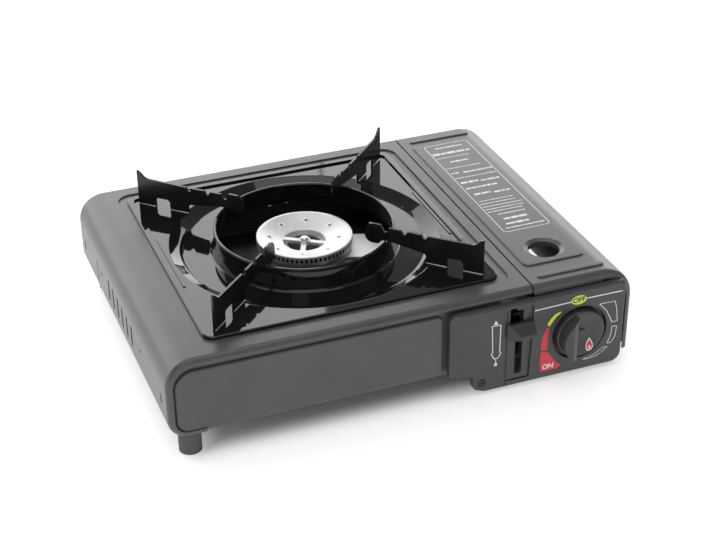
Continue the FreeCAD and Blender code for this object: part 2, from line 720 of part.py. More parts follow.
def hinge_outline(piece, sketch, wall):
    """An ear from the hinge axis out to a wall, with the bore of the pin."""
    reach = S.hinge_pin / 2 + 2
    corners = [
        (HINGE_X - reach, S.hinge_height - reach, reach * 0.96),
        (wall, S.hinge_height - reach),
        (wall, S.hinge_height + reach),
        (HINGE_X - reach, S.hinge_height + reach, reach * 0.96),
    ]
    piece.outline(sketch, corners)
    piece.circle(sketch, HINGE_X, S.hinge_height, S.hinge_pin / 2 + S.pin_clearance)


def hinge_brackets():
    """Two brackets that stand on the cartridge tray beside the ears of the lid."""
    piece = Piece("hinge_brackets")
    reach = S.hinge_pin / 2 + 2
    plate = piece.sketch("XZ", -(S.hinge_spread - S.ear_thick - S.fit_gap))
    piece.outline(plate, [
        (HINGE_X - 17, FLOOR_TOP),
        (HINGE_X - 5, FLOOR_TOP),
        (HINGE_X - 3.5, S.hinge_height - reach),
        (HINGE_X + reach, S.hinge_height - reach, reach * 0.96),
        (HINGE_X + reach, S.hinge_height + reach, reach * 0.96),
        (HINGE_X - 9, S.hinge_height + reach, 3),
    ])
    piece.circle(plate, HINGE_X, S.hinge_height, S.hinge_pin / 2)
    upright_part = piece.pad(plate, S.bracket_thick)
    foot = piece.sketch("XY", FLOOR_TOP)
    inner = S.hinge_spread - S.ear_thick - S.fit_gap - S.bracket_thick
    piece.rectangle(foot, (HINGE_X - 17, inner - 9), (HINGE_X - 5, inner + S.bracket_thick))
    foot_part = piece.pad(foot, S.bracket_thick)
    piece.mirror([upright_part, foot_part], "XZ")
    return piece


def hinge_pins():
    """Two pins held by the brackets; the ears of the lid turn on them."""
    piece = Piece("hinge_pins")
    inner = S.hinge_spread - S.ear_thick - S.fit_gap - S.bracket_thick
    head = piece.sketch("XZ", -inner)
    piece.circle(head, HINGE_X, S.hinge_height, S.hinge_pin / 2 + 1)
    head_part = piece.pad(head, 1.2)
    pin = piece.sketch("XZ", -inner)
    piece.circle(pin, HINGE_X, S.hinge_height, S.hinge_pin / 2)
    pin_part = piece.pad(pin, S.bracket_thick + S.fit_gap + S.ear_thick + 1.5, back=True)
    piece.mirror([head_part, pin_part], "XZ")
    return piece


def drip_tray():
    """Square enamelled tray with a rolled rim, a round dish and a collar round the burner."""
    piece = Piece("drip_tray", x=S.burner_offset)
    half = S.tray_side / 2
    slab = piece.sketch("XY", SEAT_TOP)
    piece.rectangle(slab, (-half, -half), (half, half), S.tray_corner)
    piece.pad(slab, S.tray_rim)
    piece.fillet(1.1, lambda edge: edge_at(edge, 2, SEAT_TOP + S.tray_rim))
    inner = half - S.rim_width
    pan = piece.sketch("XY", SEAT_TOP + S.tray_rim + 1)
    piece.rectangle(pan, (-inner, -inner), (inner, inner), S.tray_corner - S.rim_width + 1.6)
    piece.cut(pan, 1 + S.tray_rim - S.tray_sheet)
    groove = piece.sketch("XY", SEAT_TOP - 1)
    outer_wall = half - S.tray_sheet
    inner_wall = inner + S.tray_sheet
    piece.rectangle(groove, (-outer_wall, -outer_wall), (outer_wall, outer_wall),
                    S.tray_corner - S.tray_sheet)
    piece.rectangle(groove, (-inner_wall, -inner_wall), (inner_wall, inner_wall), 4)
    piece.cut(groove, 1 + S.tray_rim - S.tray_sheet - 0.2, back=True)
    hole = piece.sketch("XY", FLANGE_TOP + 1)
    piece.circle(hole, 0, 0, DISH_RADIUS + 1)
    piece.cut(hole, 3)
    dish_and_collar(piece)
    tray_beads(piece)
    slots = piece.sketch("XY", FLANGE_TOP + 1, turn=45)
    half_slot = S.support_thick / 2 + TAB_GAP
    for start in (SUPPORT_OUTER - 12, SUPPORT_TAB):
        low = (start - TAB_GAP, -half_slot)
        piece.rectangle(slots, low, (start + TAB_LENGTH + TAB_GAP, half_slot))
    piece.polar(piece.cut(slots, 3), 4)
    return piece


def tray_beads(piece):
    """A short raised bead beside the dish on the left and on the right."""
    bead = piece.sketch("XY", FLANGE_TOP - S.tray_sheet / 2)
    middle = (DISH_RADIUS + S.tray_side / 2 - S.rim_width) / 2
    piece.rectangle(bead, (middle - 0.9, -S.tray_side / 6), (middle + 0.9, S.tray_side / 6), 0.8)
    first = piece.pad(bead, S.tray_sheet / 2 + 0.7)
    piece.mirror([first], "YZ")


def dish_and_collar(piece):
    """One turned section: step down to the dish, then up the collar to its rolled rim."""
    wall = S.tray_sheet
    section = piece.sketch("XZ")
    piece.outline(section, [
        (DISH_RADIUS + 1.5, FLANGE_TOP - wall),
        (DISH_RADIUS + 1.5, FLANGE_TOP),
        (DISH_RADIUS, FLANGE_TOP, 1.5),
        (DISH_RADIUS - S.dish_slope, DISH_FLOOR, 6),
        (S.collar_foot, DISH_FLOOR, 2),
        (S.collar_radius, COLLAR_TOP - 3),
        (S.collar_radius + 1.1, COLLAR_TOP - 2.4, 0.5),
        (S.collar_radius + 0.8, COLLAR_TOP, 0.9),
        (S.collar_radius - 1.6, COLLAR_TOP, 0.9),
        (S.collar_radius - 0.9, COLLAR_TOP - 4),
        (S.collar_foot - 1, DISH_FLOOR - wall, 1),
        (DISH_RADIUS - S.dish_slope, DISH_FLOOR - wall, 6.8),
        (DISH_RADIUS, FLANGE_TOP - wall, 0.7),
    ])
    piece.turned(section)


def pan_support(side):
    """A pressed plate on a diagonal of the tray: two legs, a notched edge, a tip and a lobe."""
    piece = Piece("pan_support_" + side, x=S.burner_offset, turn=SUPPORT_TURNS[side])
    plate = piece.sketch("XZ", S.support_thick / 2)
    outer = SUPPORT_OUTER
    top = SUPPORT_TOP
    inner = S.support_inner
    foot = FLANGE_TOP
    span = outer - inner
    piece.outline(plate, [
        (outer, foot),
        (outer, SUPPORT_TIP),
        (outer - 2.4, SUPPORT_TIP - 1),
        (outer - 7, top, 6),
        (outer - span * 0.456, top - 0.6),
        (outer - span * 0.815, top - 0.2, 2),
        (outer - span * 0.831, top + 1.1, 2),
        (inner + 3, top + 1.1, 5),
        (inner + 0.6, top - 14.4, 6),
        (inner + 12, top - 14.4, 3),
        (inner + 15.4, COLLAR_TOP + 0.15, 1),
        (inner + 21, COLLAR_TOP + 0.15, 2),
        (SUPPORT_LEG, top - 15, 3),
        (SUPPORT_LEG, foot),
    ])
    piece.pad(plate, S.support_thick, back=True)
    gaps = piece.sketch("XZ", S.support_thick / 2 + 1)
    piece.rectangle(gaps, (outer - 27.2, foot - 4), (outer - 15, foot + 7.8), 2.5)
    for share, drop in ((0.484, 3.2), (0.652, 3), (0.81, 4)):
        middle = outer - span * share
        piece.outline(gaps, [
            (middle - 4, top + 2),
            (middle - 1, top - drop),
            (middle + 1, top - drop),
            (middle + 4, top + 2),
        ])
    piece.cut(gaps, S.support_thick + 2)
    pressed = lambda edge: edge.BoundBox.YLength > 0.1 and edge.BoundBox.ZLength < 0.01
    piece.fillet(0.7, lambda edge: pressed(edge) and crest(edge, top))
    tabs = piece.sketch("XZ", S.support_thick / 2)
    for start in (outer - 12, SUPPORT_TAB):
        piece.rectangle(tabs, (start, foot - S.tray_sheet), (start + TAB_LENGTH, foot + 1))
    piece.pad(tabs, S.support_thick, back=True)
    return piece


def crest(edge, top):
    """True for the edges across the plate at the notches of a pan support."""
    box = edge.BoundBox
    level = sized(top).number
    middle = sized(S.support_inner + SUPPORT_OUTER).number / 2
    return level - 5 < box.ZMin and box.ZMax < level + 0.8 and box.XMin < middle + 20


def burner_head():
    """Cast head: dished top with eight holes, ports round the skirt and a hub on a bar and a stay."""
    piece = Piece("burner_head", x=S.burner_offset)
    section = piece.sketch("XZ")
    low = CHAMBER_TOP
    top = HEAD_TOP
    rim = S.head_radius
    bore = S.head_bore
    piece.outline(section, [
        (rim, top, 0.7),
        (rim - 2.4, top, 1),
        (bore + 9, top - 2.8, 12),
        (bore, top - 5, 0.8),
        (bore, low),
        (bore + 2, low),
        (bore + 2, top - 6),
        (rim - 7, top - 3.6),
        (rim - 7, low),
        (rim - 0.7, low),
        (rim, low + 3.4),
    ])
    piece.turned(section)
    port = piece.sketch("XY", top - 4.8)
    piece.rectangle(port, (rim - 8, -0.95), (rim + 1, 0.95))
    piece.polar(piece.cut(port, 2.9, back=True), S.port_count)
    small = piece.sketch("XY", top + 1, turn=22.5)
    piece.circle(small, 0, -0.72 * rim, 0.7)
    piece.polar(piece.cut(small, 5.5), 8)
    hub = piece.sketch("XY", low)
    piece.circle(hub, 0, 0, 4.2)
    piece.pad(hub, 3.4)
    bar = piece.sketch("XY", low, turn=SPOKE_TURN)
    piece.rectangle(bar, (-bore - 1, -1.9), (bore + 1, 1.9))
    piece.pad(bar, 2.6)
    stay = piece.sketch("XY", low, turn=SPOKE_TURN + 10)
    piece.rectangle(stay, (-1.9, -bore - 1), (1.9, 0))
    piece.pad(stay, 2.6)
    screw = piece.sketch("XY", low + 4)
    piece.circle(screw, 0, 0, 1.6)
    piece.cut(screw, 6)
    return piece


def burner_base():
    """Ring shaped mixing chamber with a step for the heat plate and a boss for the tube."""
    piece = Piece("burner_base", x=S.burner_offset, turn=TUBE_TURN)
    section = piece.sketch("XZ")
    low = CHAMBER_BOTTOM
    outer = S.base_radius
    neck = outer - 3
    bore = S.head_bore - 3
    piece.outline(section, [
        (bore, low),
        (outer - 2, low),
        (outer, low + 4),
        (outer, CHAMBER_STEP),
        (neck, CHAMBER_STEP),
        (neck, CHAMBER_TOP),
        (neck - 3, CHAMBER_TOP),
        (neck - 3, low + 3),
        (bore + 3, low + 3),
        (bore + 3, CHAMBER_TOP),
        (bore, CHAMBER_TOP),
    ])
    piece.turned(section)
    boss = piece.sketch("YZ", outer - 5)
    piece.circle(boss, 0, TUBE_HEIGHT, S.tube_size / 2 + 1.6)
    piece.pad(boss, 13)
    bore_hole = piece.sketch("YZ", outer + 10)
    piece.circle(bore_hole, 0, TUBE_HEIGHT, S.tube_size / 2)
    piece.cut(bore_hole, 14)
    bar = piece.sketch("XY", low)
    piece.rectangle(bar, (-bore - 1, -4), (bore + 1, 4))
    piece.pad(bar, 3)
    thread = piece.sketch("XY", low + 4)
    piece.circle(thread, 0, 0, 1.5)
    piece.cut(thread, 6)
    return piece


def burner_screw():
    """The long screw that draws the head down on the chamber."""
    piece = Piece("burner_screw", x=S.burner_offset)
    head_low = CHAMBER_TOP + 3.4
    head = piece.sketch("XY", head_low)
    piece.circle(head, 0, 0, 3)
    piece.pad(head, 1.8)
    piece.fillet(1, lambda edge: edge_at(edge, 2, head_low + 1.8))
    shank = piece.sketch("XY", head_low)
    piece.circle(shank, 0, 0, 1.5)
    piece.pad(shank, head_low - CHAMBER_BOTTOM + 2, back=True)
    return piece


def heat_plate():
    """Aluminium plate that carries warmth from the burner to the cartridge."""
    piece = Piece("heat_plate", x=S.burner_offset, turn=PLATE_TURN)
    step = CHAMBER_STEP
    half = S.plate_width / 2
    ring = piece.sketch("XY", step)
    piece.circle(ring, 0, 0, S.base_radius + 3)
    piece.pad(ring, S.plate_thick)
    reach = (PARTITION_X - S.burner_offset) / math.cos(math.radians(PLATE_TURN))
    strip = piece.sketch("XY", step)
    piece.rectangle(strip, (20, -half), (reach + 6, half))
    piece.pad(strip, S.plate_thick)
    tongue = piece.sketch("XZ", half)
    piece.outline(tongue, [
        (reach + 4, step),
        (reach + 6, step),
        (reach + 17, step - 3),
        (reach + 17, step - 3 + S.plate_thick),
        (reach + 6, step + S.plate_thick),
        (reach + 4, step + S.plate_thick),
    ])
    piece.pad(tongue, S.plate_width, back=True)
    hole = piece.sketch("XY", step + 3)
    piece.circle(hole, 0, 0, S.base_radius - 3 + 0.1)
    piece.cut(hole, 6)
    return piece


def burner_bracket():
    """Bent strap that carries the mixing chamber on the base plate."""
    piece = Piece("burner_bracket", x=S.burner_offset)
    wide = S.base_radius + 12
    strap = piece.sketch("XZ", 14)
    thick = 1.2
    piece.outline(strap, [
        (-wide - 10, BASE_TOP),
        (-wide + thick, BASE_TOP),
        (-wide + thick, CHAMBER_BOTTOM - thick),
        (wide - thick, CHAMBER_BOTTOM - thick),
        (wide - thick, BASE_TOP),
        (wide + 10, BASE_TOP),
        (wide + 10, BASE_TOP + thick),
        (wide, BASE_TOP + thick),
        (wide, CHAMBER_BOTTOM),
        (-wide, CHAMBER_BOTTOM),
        (-wide, BASE_TOP + thick),
        (-wide - 10, BASE_TOP + thick),
    ])
    piece.pad(strap, 28, back=True)
    air = piece.sketch("XY", CHAMBER_BOTTOM + 1)
    piece.circle(air, 0, 0, S.head_bore - 5)
    piece.cut(air, 4)
    return piece


def mixing_tube():
    """Straight tube with a flared air inlet at its outer end."""
    piece = Piece("mixing_tube", x=S.burner_offset, turn=TUBE_TURN)
    section = piece.sketch("XZ", up=TUBE_HEIGHT)
    outer = S.tube_size / 2
    start = S.base_radius - 2.5
    flare = TUBE_REACH - 26
    piece.outline(section, [
        (start, outer),
        (start, outer - 1),
        (flare - 1, outer - 1),
        (flare + 9, outer + 1.6),
        (TUBE_REACH - 6, outer + 1.6),
        (TUBE_REACH - 6, outer + 2.6),
        (flare + 9, outer + 2.6),
        (flare, outer),
    ])
    piece.turned(section, axis="H_Axis")
    air = piece.sketch("XY", TUBE_HEIGHT + 12)
    piece.rectangle(air, (flare + 10, -3), (TUBE_REACH - 9, 3), 1.5)
    piece.cut(air, 24)
    return piece


def injector():
    """Brass jet with a hexagon, screwed on the end of the gas pipe."""
    piece = Piece("injector", x=S.burner_offset, turn=TUBE_TURN)
    section = piece.sketch("XZ", up=TUBE_HEIGHT)
    body = S.tube_size / 2 + 1.6
    end = TUBE_REACH
    piece.outline(section, [
        (end - 12, 0),
        (end - 12, 1.2),
        (end - 9, 2.6),
        (end - 7, 3),
        (end - 7, body),
        (end - 3, body),
        (end - 3, 4.2),
        (end + 4, 4.2),
        (end + 4, S.pipe_size / 2),
        (end, S.pipe_size / 2),
        (end, 0),
    ])
    piece.turned(section, axis="H_Axis")
    return piece


def pan_supports():
    return [pan_support(side) for side in SUPPORT_TURNS]


def swept_tube(label, points, radii, outer, bore=0.0):
    """A round tube or wire along straight runs joined by tangent arcs."""
    path = rounded_path(points, radii)
    along = points[1] - points[0]
    shape = sweep_disc(path, points[0], along, outer)
    if bore > 0:
        shape = shape.cut(sweep_disc(path, points[0], along, bore))
    piece = doc.addObject("Part::Feature", label)
    piece.Label = label
    piece.Shape = shape
    piece.setExpression("Placement.Base.y", sized(MIDDLE).text)
    length = path.Length
    expected = math.pi * (outer ** 2 - bore ** 2) * length
    print(label, "length", round(length, 1), "volume ratio", round(shape.Volume / expected, 4))
    return piece


def rounded_path(points, radii):
    """A wire through the points, with an arc of the given radius at each inner one."""
    edges = []
    last = points[0]
    for index in range(1, len(points) - 1):
        here = points[index]
        before = (points[index - 1] - here).normalize()
        after = (points[index + 1] - here).normalize()
        half = before.getAngle(after) / 2
        reach = radii[index - 1] / math.tan(half)
        start = here + before * reach
        end = here + after * reach
        inward = (before + after).normalize()
        middle = here + inward * (radii[index - 1] / math.sin(half) - radii[index - 1])
        edges.append(Part.LineSegment(last, start).toShape())
        edges.append(Part.Arc(start, middle, end).toShape())
        last = end
    edges.append(Part.LineSegment(last, points[-1]).toShape())
    return Part.Wire(edges)


def sweep_disc(path, start, along, radius):
    ring = Part.Wire([Part.makeCircle(radius, start, along)])
    return path.makePipeShell([ring], True, False)


def gas_pipe():
    """Pipe from the regulator through the partition to the injector."""
    turn = math.radians(TUBE_TURN)
    along = FreeCAD.Vector(math.cos(turn), math.sin(turn), 0)
    level = TUBE_HEIGHT.number
    end = FreeCAD.Vector(S.burner_offset.number, 0, level) + along * TUBE_REACH
    side = (PIPE_Y.number - end.y) / along.y
    corner = end + along * side
    start = FreeCAD.Vector(REGULATOR_LEFT.number + 4, PIPE_Y.number, level)
    radius = S.pipe_size.number / 2
    return swept_tube("gas_pipe", [start, corner, end], [12.0], radius, radius - 1)


def electrode_place():
    turn = math.radians(ELECTRODE_TURN)
    reach = S.head_radius.number + 9
    return FreeCAD.Vector(S.burner_offset.number + reach * math.cos(turn), reach * math.sin(turn), 0)


def regulator_body():
    """Die cast regulator behind the front wall of the bay, with an arm to the gas pipe."""
    piece = Piece("regulator_body")
    wall = END_FACE - S.metal
    front = piece.sketch("XZ", wall)
    piece.circle(front, VALVE_X, S.valve_z, 18)
    piece.pad(front, 14, back=True)
    piece.fillet(2, lambda edge: edge_at(edge, 1, -(wall - 14)))
    neck = piece.sketch("XZ", wall - 13)
    piece.circle(neck, VALVE_X, S.valve_z, 12)
    piece.pad(neck, 18, back=True)
    arm = piece.sketch("XZ", -(PIPE_Y - 6))
    piece.outline(arm, [
        (REGULATOR_LEFT, TUBE_HEIGHT - 6, 3),
        (VALVE_X - 4, S.valve_z - 6, 3),
        (VALVE_X + 4, S.valve_z + 6, 3),
        (REGULATOR_LEFT + 14, TUBE_HEIGHT + 6, 3),
        (REGULATOR_LEFT, TUBE_HEIGHT + 6, 3),
    ])
    piece.pad(arm, 10.5, back=True)
    socket = piece.sketch("YZ", REGULATOR_LEFT + 4)
    piece.circle(socket, PIPE_Y, TUBE_HEIGHT, S.pipe_size / 2)
    piece.cut(socket, 8)
    side = piece.sketch("YZ", VALVE_X + 8)
    piece.circle(side, -(REGULATOR_END + 7.3), S.valve_z, 9)
    piece.pad(side, 8)
    stem = piece.sketch("XZ", wall + 1)
    piece.circle(stem, DIAL_X, S.dial_z, S.stem_size / 2 + S.pin_clearance)
    piece.cut(stem, 11)
    return piece


def regulator_cap():
    """Domed cover of the diaphragm, on the right of the regulator."""
    piece = Piece("regulator_cap")
    section = piece.sketch("XY", S.valve_z, across=VALVE_X + 16, up=-(REGULATOR_END + 7.3))
    piece.outline(section, [
        (0, 0),
        (7, 0),
        (7, 5, 2),
        (3, 9.4),
        (0, 9.4),
    ])
    piece.turned(section, axis="H_Axis")
    return piece


def inlet_nozzle():
    """Nozzle that presses the valve of the cartridge, with its round flange."""
    piece = Piece("inlet_nozzle")
    section = piece.sketch("XY", S.valve_z, across=VALVE_X, up=-REGULATOR_END)
    piece.outline(section, [
        (0, 0),
        (7, 0),
        (7, 1.5),
        (2.4, 1.5),
        (2.4, 6),
        (1.6, 8),
        (0, 8),
    ])
    piece.turned(section)
    return piece


def inlet_seal():
    """Rubber ring round the foot of the nozzle."""
    piece = Piece("inlet_seal")
    section = piece.sketch("XY", S.valve_z, across=VALVE_X, up=-(END_FACE - S.metal - 32.5))
    piece.outline(section, [
        (2.4, 0),
        (5, 0),
        (5, 1.8, 0.6),
        (2.4, 1.8),
    ])
    piece.turned(section)
    return piece


def neck_guide():
    """Bent tab on the end of the regulator that enters the notch in the collar of a cartridge."""
    piece = Piece("neck_guide")
    rear = -REGULATOR_END
    low = S.valve_z + 12
    tab = piece.sketch("YZ", VALVE_X - 3)
    piece.outline(tab, [
        (rear, low - 3.8),
        (rear + 1.2, low - 3.8),
        (rear + 1.2, low),
        (rear + 9, low),
        (rear + 9, low + 1.2),
        (rear, low + 1.2),
    ])
    piece.pad(tab, 6)
    return piece


def control_bracket():
    """Strip below the front panel that backs the ear of the control panel."""
    piece = Piece("control_bracket")
    plate = piece.sketch("XZ", END_FACE)
    piece.outline(plate, [
        (EAR_LEFT + 2, S.panel_low + 2, 4),
        (PARTITION_X, S.panel_low + 2),
        (PARTITION_X, S.shell_bottom + S.metal),
        (EAR_LEFT + 2, S.shell_bottom + S.metal),
    ])
    piece.pad(plate, S.metal, back=True)
    flange = piece.sketch("XY", S.shell_bottom)
    piece.rectangle(flange, (EAR_LEFT + 2, -END_FACE), (PARTITION_X, -END_FACE + S.panel_flange))
    piece.pad(flange, S.metal)
    hole = piece.sketch("XZ", END_FACE + 1)
    piece.circle(hole, EAR_X, EAR_Z, 1.5)
    piece.cut(hole, 3)
    return piece


def control_panel():
    """Moulded panel with a raised lever block, a dial face, an ear and its lever slots."""
    piece = Piece("control_panel")
    back = HALF_DEPTH + S.fit_gap
    outline = piece.sketch("XZ", back)
    piece.outline(outline, [
        (PANEL_LEFT, S.panel_step, 3),
        (EAR_LEFT, S.panel_step - 2.5, 2),
        (EAR_LEFT, S.panel_low + 3, 5),
        (EAR_LEFT + 9, S.panel_low - 0.4, 4),
        (PANEL_RIGHT, S.panel_low, 8),
        (PANEL_RIGHT, PANEL_TOP, 2.4),
        (PANEL_LEFT, PANEL_TOP, 5),
    ])
    depth = PANEL_FACE - back
    piece.pad(outline, depth)
    piece.fillet(1.6, lambda edge: edge_at(edge, 1, -PANEL_FACE))
    slope = piece.sketch("XY", PANEL_TOP + 1)
    piece.outline(slope, [
        (PANEL_LEFT - 1, -PANEL_FACE - 1),
        (PANEL_LEFT + 8, -PANEL_FACE - 1),
        (PANEL_LEFT + 8, -PANEL_FACE),
        (PANEL_LEFT - 1, -PANEL_FACE + 1.9),
    ])
    piece.cut(slope, PANEL_TOP + 2)
    label = piece.sketch("XZ", PANEL_FACE)
    piece.rectangle(label, (PANEL_LEFT + 9, S.panel_low - 3), (LEVER_X - 9, PANEL_TOP - 3.2), 1.5)
    piece.cut(label, 0.7)
    wall = S.panel_wall
    hollow = piece.sketch("XZ", back - 1)
    piece.outline(hollow, [
        (PANEL_LEFT + wall, S.panel_step + wall, 1),
        (EAR_LEFT + wall, S.panel_step - 2.5 + wall, 2),
        (EAR_LEFT + wall, S.panel_low + 3 + wall, 3),
        (EAR_LEFT + 9, S.panel_low - 0.4 + wall, 2),
        (PANEL_RIGHT - wall, S.panel_low + wall, 6),
        (PANEL_RIGHT - wall, PANEL_TOP - wall, 1),
        (PANEL_LEFT + wall, PANEL_TOP - wall, 3),
    ])
    piece.cut(hollow, depth - wall + 1, back=True)
    dial = S.knob_size / 2 + S.knob_margin
    cup = piece.sketch("XZ", PANEL_FACE - 1)
    piece.circle(cup, DIAL_X, S.dial_z, dial + 1.8)
    piece.pad(cup, S.knob_recess + 0.8, back=True)
    posts = piece.sketch("XZ", END_FACE)
    for x, z in ((PANEL_LEFT + 8, PANEL_TOP - 12), (PANEL_LEFT + 24, PANEL_TOP - 12),
                 (BAY_LEFT + 8, PANEL_TOP - 10), (PANEL_RIGHT - 22, PANEL_TOP - 10),
                 (BAY_LEFT + 8, S.panel_low + 8), (PANEL_RIGHT - 30, S.panel_low + 8)):
        piece.circle(posts, x, z, 3)
    piece.circle(posts, EAR_X, EAR_Z, 3.5)
    piece.pad(posts, S.panel_recess + 4.5)
    openings = piece.sketch("XZ", PANEL_FACE + 1)
    piece.circle(openings, DIAL_X, S.dial_z, S.stem_size / 2 + 1)
    piece.rectangle(openings, (LEVER_X - 2.8, 12.8), (LEVER_X + 2.8, PANEL_TOP - 5), 0.8)
    piece.cut(openings, 12)
    recess = piece.sketch("XZ", PANEL_FACE + 1)
    piece.rectangle(recess, (LEVER_X - 7.5, PANEL_TOP - 26), (LEVER_X - 2, PANEL_TOP - 3), 0.6)
    piece.cut(recess, 12)
    groove = piece.sketch("XZ", PANEL_FACE + 1)
    piece.outline(groove, [
        (LEVER_X - 8.5, S.panel_low + 4.4),
        (LEVER_X + 9, S.panel_low + 4.4),
        (LEVER_X + 10.5, LEVER_LOW - 6),
        (LEVER_X + 10.5, PANEL_TOP - 3),
        (LEVER_X + 6.5, PANEL_TOP - 3),
        (LEVER_X + 6.5, LEVER_LOW - 6),
        (LEVER_X + 7.8, S.panel_low + 5.8),
        (LEVER_X - 8.5, S.panel_low + 5.8),
    ])
    piece.cut(groove, 1 + 1.4)
    ring = piece.sketch("XZ", PANEL_FACE + 1)
    piece.circle(ring, DIAL_X, S.dial_z, dial)
    piece.cut(ring, 1 + S.knob_recess)
    screw = piece.sketch("XZ", PANEL_FACE + 1)
    piece.circle(screw, EAR_X, EAR_Z, 3.2)
    piece.cut(screw, 3)
    hole = piece.sketch("XZ", PANEL_FACE + 1)
    piece.circle(hole, EAR_X, EAR_Z, 1.5)
    piece.cut(hole, 14)
    return piece


def panel_screw():
    piece = Piece("panel_screw")
    head = piece.sketch("XZ", PANEL_FACE - 2)
    piece.circle(head, EAR_X, EAR_Z, 2.8)
    piece.pad(head, 1.4)
    piece.fillet(0.8, lambda edge: edge_at(edge, 1, -(PANEL_FACE - 0.6)))
    shank = piece.sketch("XZ", PANEL_FACE - 2)
    piece.circle(shank, EAR_X, EAR_Z, 1.5)
    piece.pad(shank, S.panel_proud + S.panel_recess, back=True)
    return piece


def lever_handle():
    """Thumb piece with a wedge face, outside the panel."""
    piece = Piece("lever_handle")
    side = piece.sketch("YZ", LEVER_X - 10)
    back = -(PANEL_FACE + S.fit_gap)
    low = LEVER_LOW
    piece.outline(side, [
        (back, low + 0.5),
        (back, low + 12.5),
        (back - 2.6, low + 12.5, 0.8),
        (back - 7.4, low + 4.5, 1.2),
        (back - 7.4, low + 1.5, 1),
        (back - 4, low, 1.2),
    ])
    piece.pad(side, 20)
    slope = piece.sketch("XY", low + 14)
    piece.outline(slope, [
        (LEVER_X - 11, -PANEL_FACE - 0.8),
        (LEVER_X - 1, -PANEL_FACE - 8.6),
        (LEVER_X - 11, -PANEL_FACE - 8.6),
    ])
    piece.cut(slope, 16)
    notch = piece.sketch("XZ", PANEL_FACE + 4)
    piece.rectangle(notch, (LEVER_X - 1.7, low + 3.9), (LEVER_X + 0.1, low + 10.6))
    piece.cut(notch, 5)
    return piece


def cam_plate():
    """Steel plate behind the panel: a tongue to the handle and a slanting slot for the pin."""
    piece = Piece("cam_plate")
    plate = piece.sketch("YZ", LEVER_X - 1.6)
    tongue = -(PANEL_FACE + 4)
    front = -(END_FACE - 3.2)
    rear = FOLLOWER_Y + 6
    low = FOLLOWER_Z - 5
    high = FOLLOWER_Z + S.lever_travel + 6
    piece.outline(plate, [
        (front, low, 1),
        (rear, low, 3),
        (rear, high, 3),
        (front, high, 1),
        (front, LEVER_LOW + 10.5),
        (tongue, LEVER_LOW + 10.5),
        (tongue, LEVER_LOW + 4),
        (front, LEVER_LOW + 4),
    ])
    piece.pad(plate, 1.6)
    slot = piece.sketch("YZ", LEVER_X + 2)
    half = S.follower_size / 2 + 0.15
    slope = math.atan2(S.carriage_travel.number, S.lever_travel.number)
    shift = half / math.cos(slope)
    reach = half + 0.4
    rise = S.lever_travel + 2 * reach
    lean = rise * (S.carriage_travel.number / S.lever_travel.number)
    start = FOLLOWER_Y + reach * (S.carriage_travel.number / S.lever_travel.number)
    bottom = FOLLOWER_Z - reach
    piece.outline(slot, [
        (start - shift, bottom),
        (start + shift, bottom),
        (start + shift - lean, bottom + rise),
        (start - shift - lean, bottom + rise),
    ])
    piece.cut(slot, 5)
    return piece


def follower_pin():
    """Pin of the carriage that rides in the slanting slot."""
    piece = Piece("follower_pin")
    pin = piece.sketch("YZ", LEVER_X - 4)
    piece.circle(pin, FOLLOWER_Y, FOLLOWER_Z, S.follower_size / 2)
    piece.pad(pin, BAY_LEFT + S.fit_gap - LEVER_X + 4)
    return piece


def carriage():
    """Strip along the partition with a pusher across the rear of the bay."""
    piece = Piece("carriage")
    strip = piece.sketch("YZ", BAY_LEFT + S.fit_gap)
    front = FOLLOWER_Y - 4
    rear = END_FACE - 8
    piece.rectangle(strip, (front, FOLLOWER_Z - 4), (rear, FOLLOWER_Z + 4), 1.5)
    piece.pad(strip, 1.2)
    pusher = piece.sketch("XZ", -(rear - 1.2))
    left = BAY_LEFT + S.fit_gap
    piece.outline(pusher, [
        (left, FOLLOWER_Z - 4),
        (left + 12, FOLLOWER_Z - 4, 3),
        (VALVE_X - 14, S.valve_z - 20, 4),
        (VALVE_X + 14, S.valve_z - 20, 6),
        (VALVE_X + 14, S.valve_z + 18, 6),
        (VALVE_X - 14, S.valve_z + 18, 4),
        (left + 12, FOLLOWER_Z + 4, 3),
        (left, FOLLOWER_Z + 4),
    ])
    piece.pad(pusher, 1.2, back=True)
    return piece


def carriage_guides():
    """Two clips on the partition that hold the carriage strip."""
    piece = Piece("carriage_guides")
    gap = S.fit_gap
    half = 4
    low = FOLLOWER_Z - half - gap
    high = FOLLOWER_Z + half + gap
    guide = piece.sketch("XZ", 60)
    inner = BAY_LEFT + 2 * gap + 1.2
    piece.outline(guide, [
        (BAY_LEFT, low - 6),
        (BAY_LEFT + 0.8, low - 6),
        (BAY_LEFT + 0.8, low - 0.8),
        (inner + 0.8, low - 0.8),
        (inner + 0.8, high + 0.8),
        (BAY_LEFT + 0.8, high + 0.8),
        (BAY_LEFT + 0.8, high + 6),
        (BAY_LEFT, high + 6),
        (BAY_LEFT, high),
        (inner, high),
        (inner, low),
        (BAY_LEFT, low),
    ])
    first = piece.pad(guide, 10)
    piece.mirror([first], "XZ")
    return piece


def valve_stem():
    piece = Piece("valve_stem")
    stem = piece.sketch("XZ", END_FACE - S.metal - 8)
    piece.circle(stem, DIAL_X, S.dial_z, S.stem_size / 2)
    piece.pad(stem, KNOB_BACK + 6 - (END_FACE - S.metal - 8))
    flat = piece.sketch("XZ", KNOB_BACK + 7)
    low = S.dial_z + S.stem_size / 2 - 1.2
    piece.rectangle(flat, (DIAL_X - 4, low), (DIAL_X + 4, S.dial_z + 4))
    piece.cut(flat, 7)
    return piece


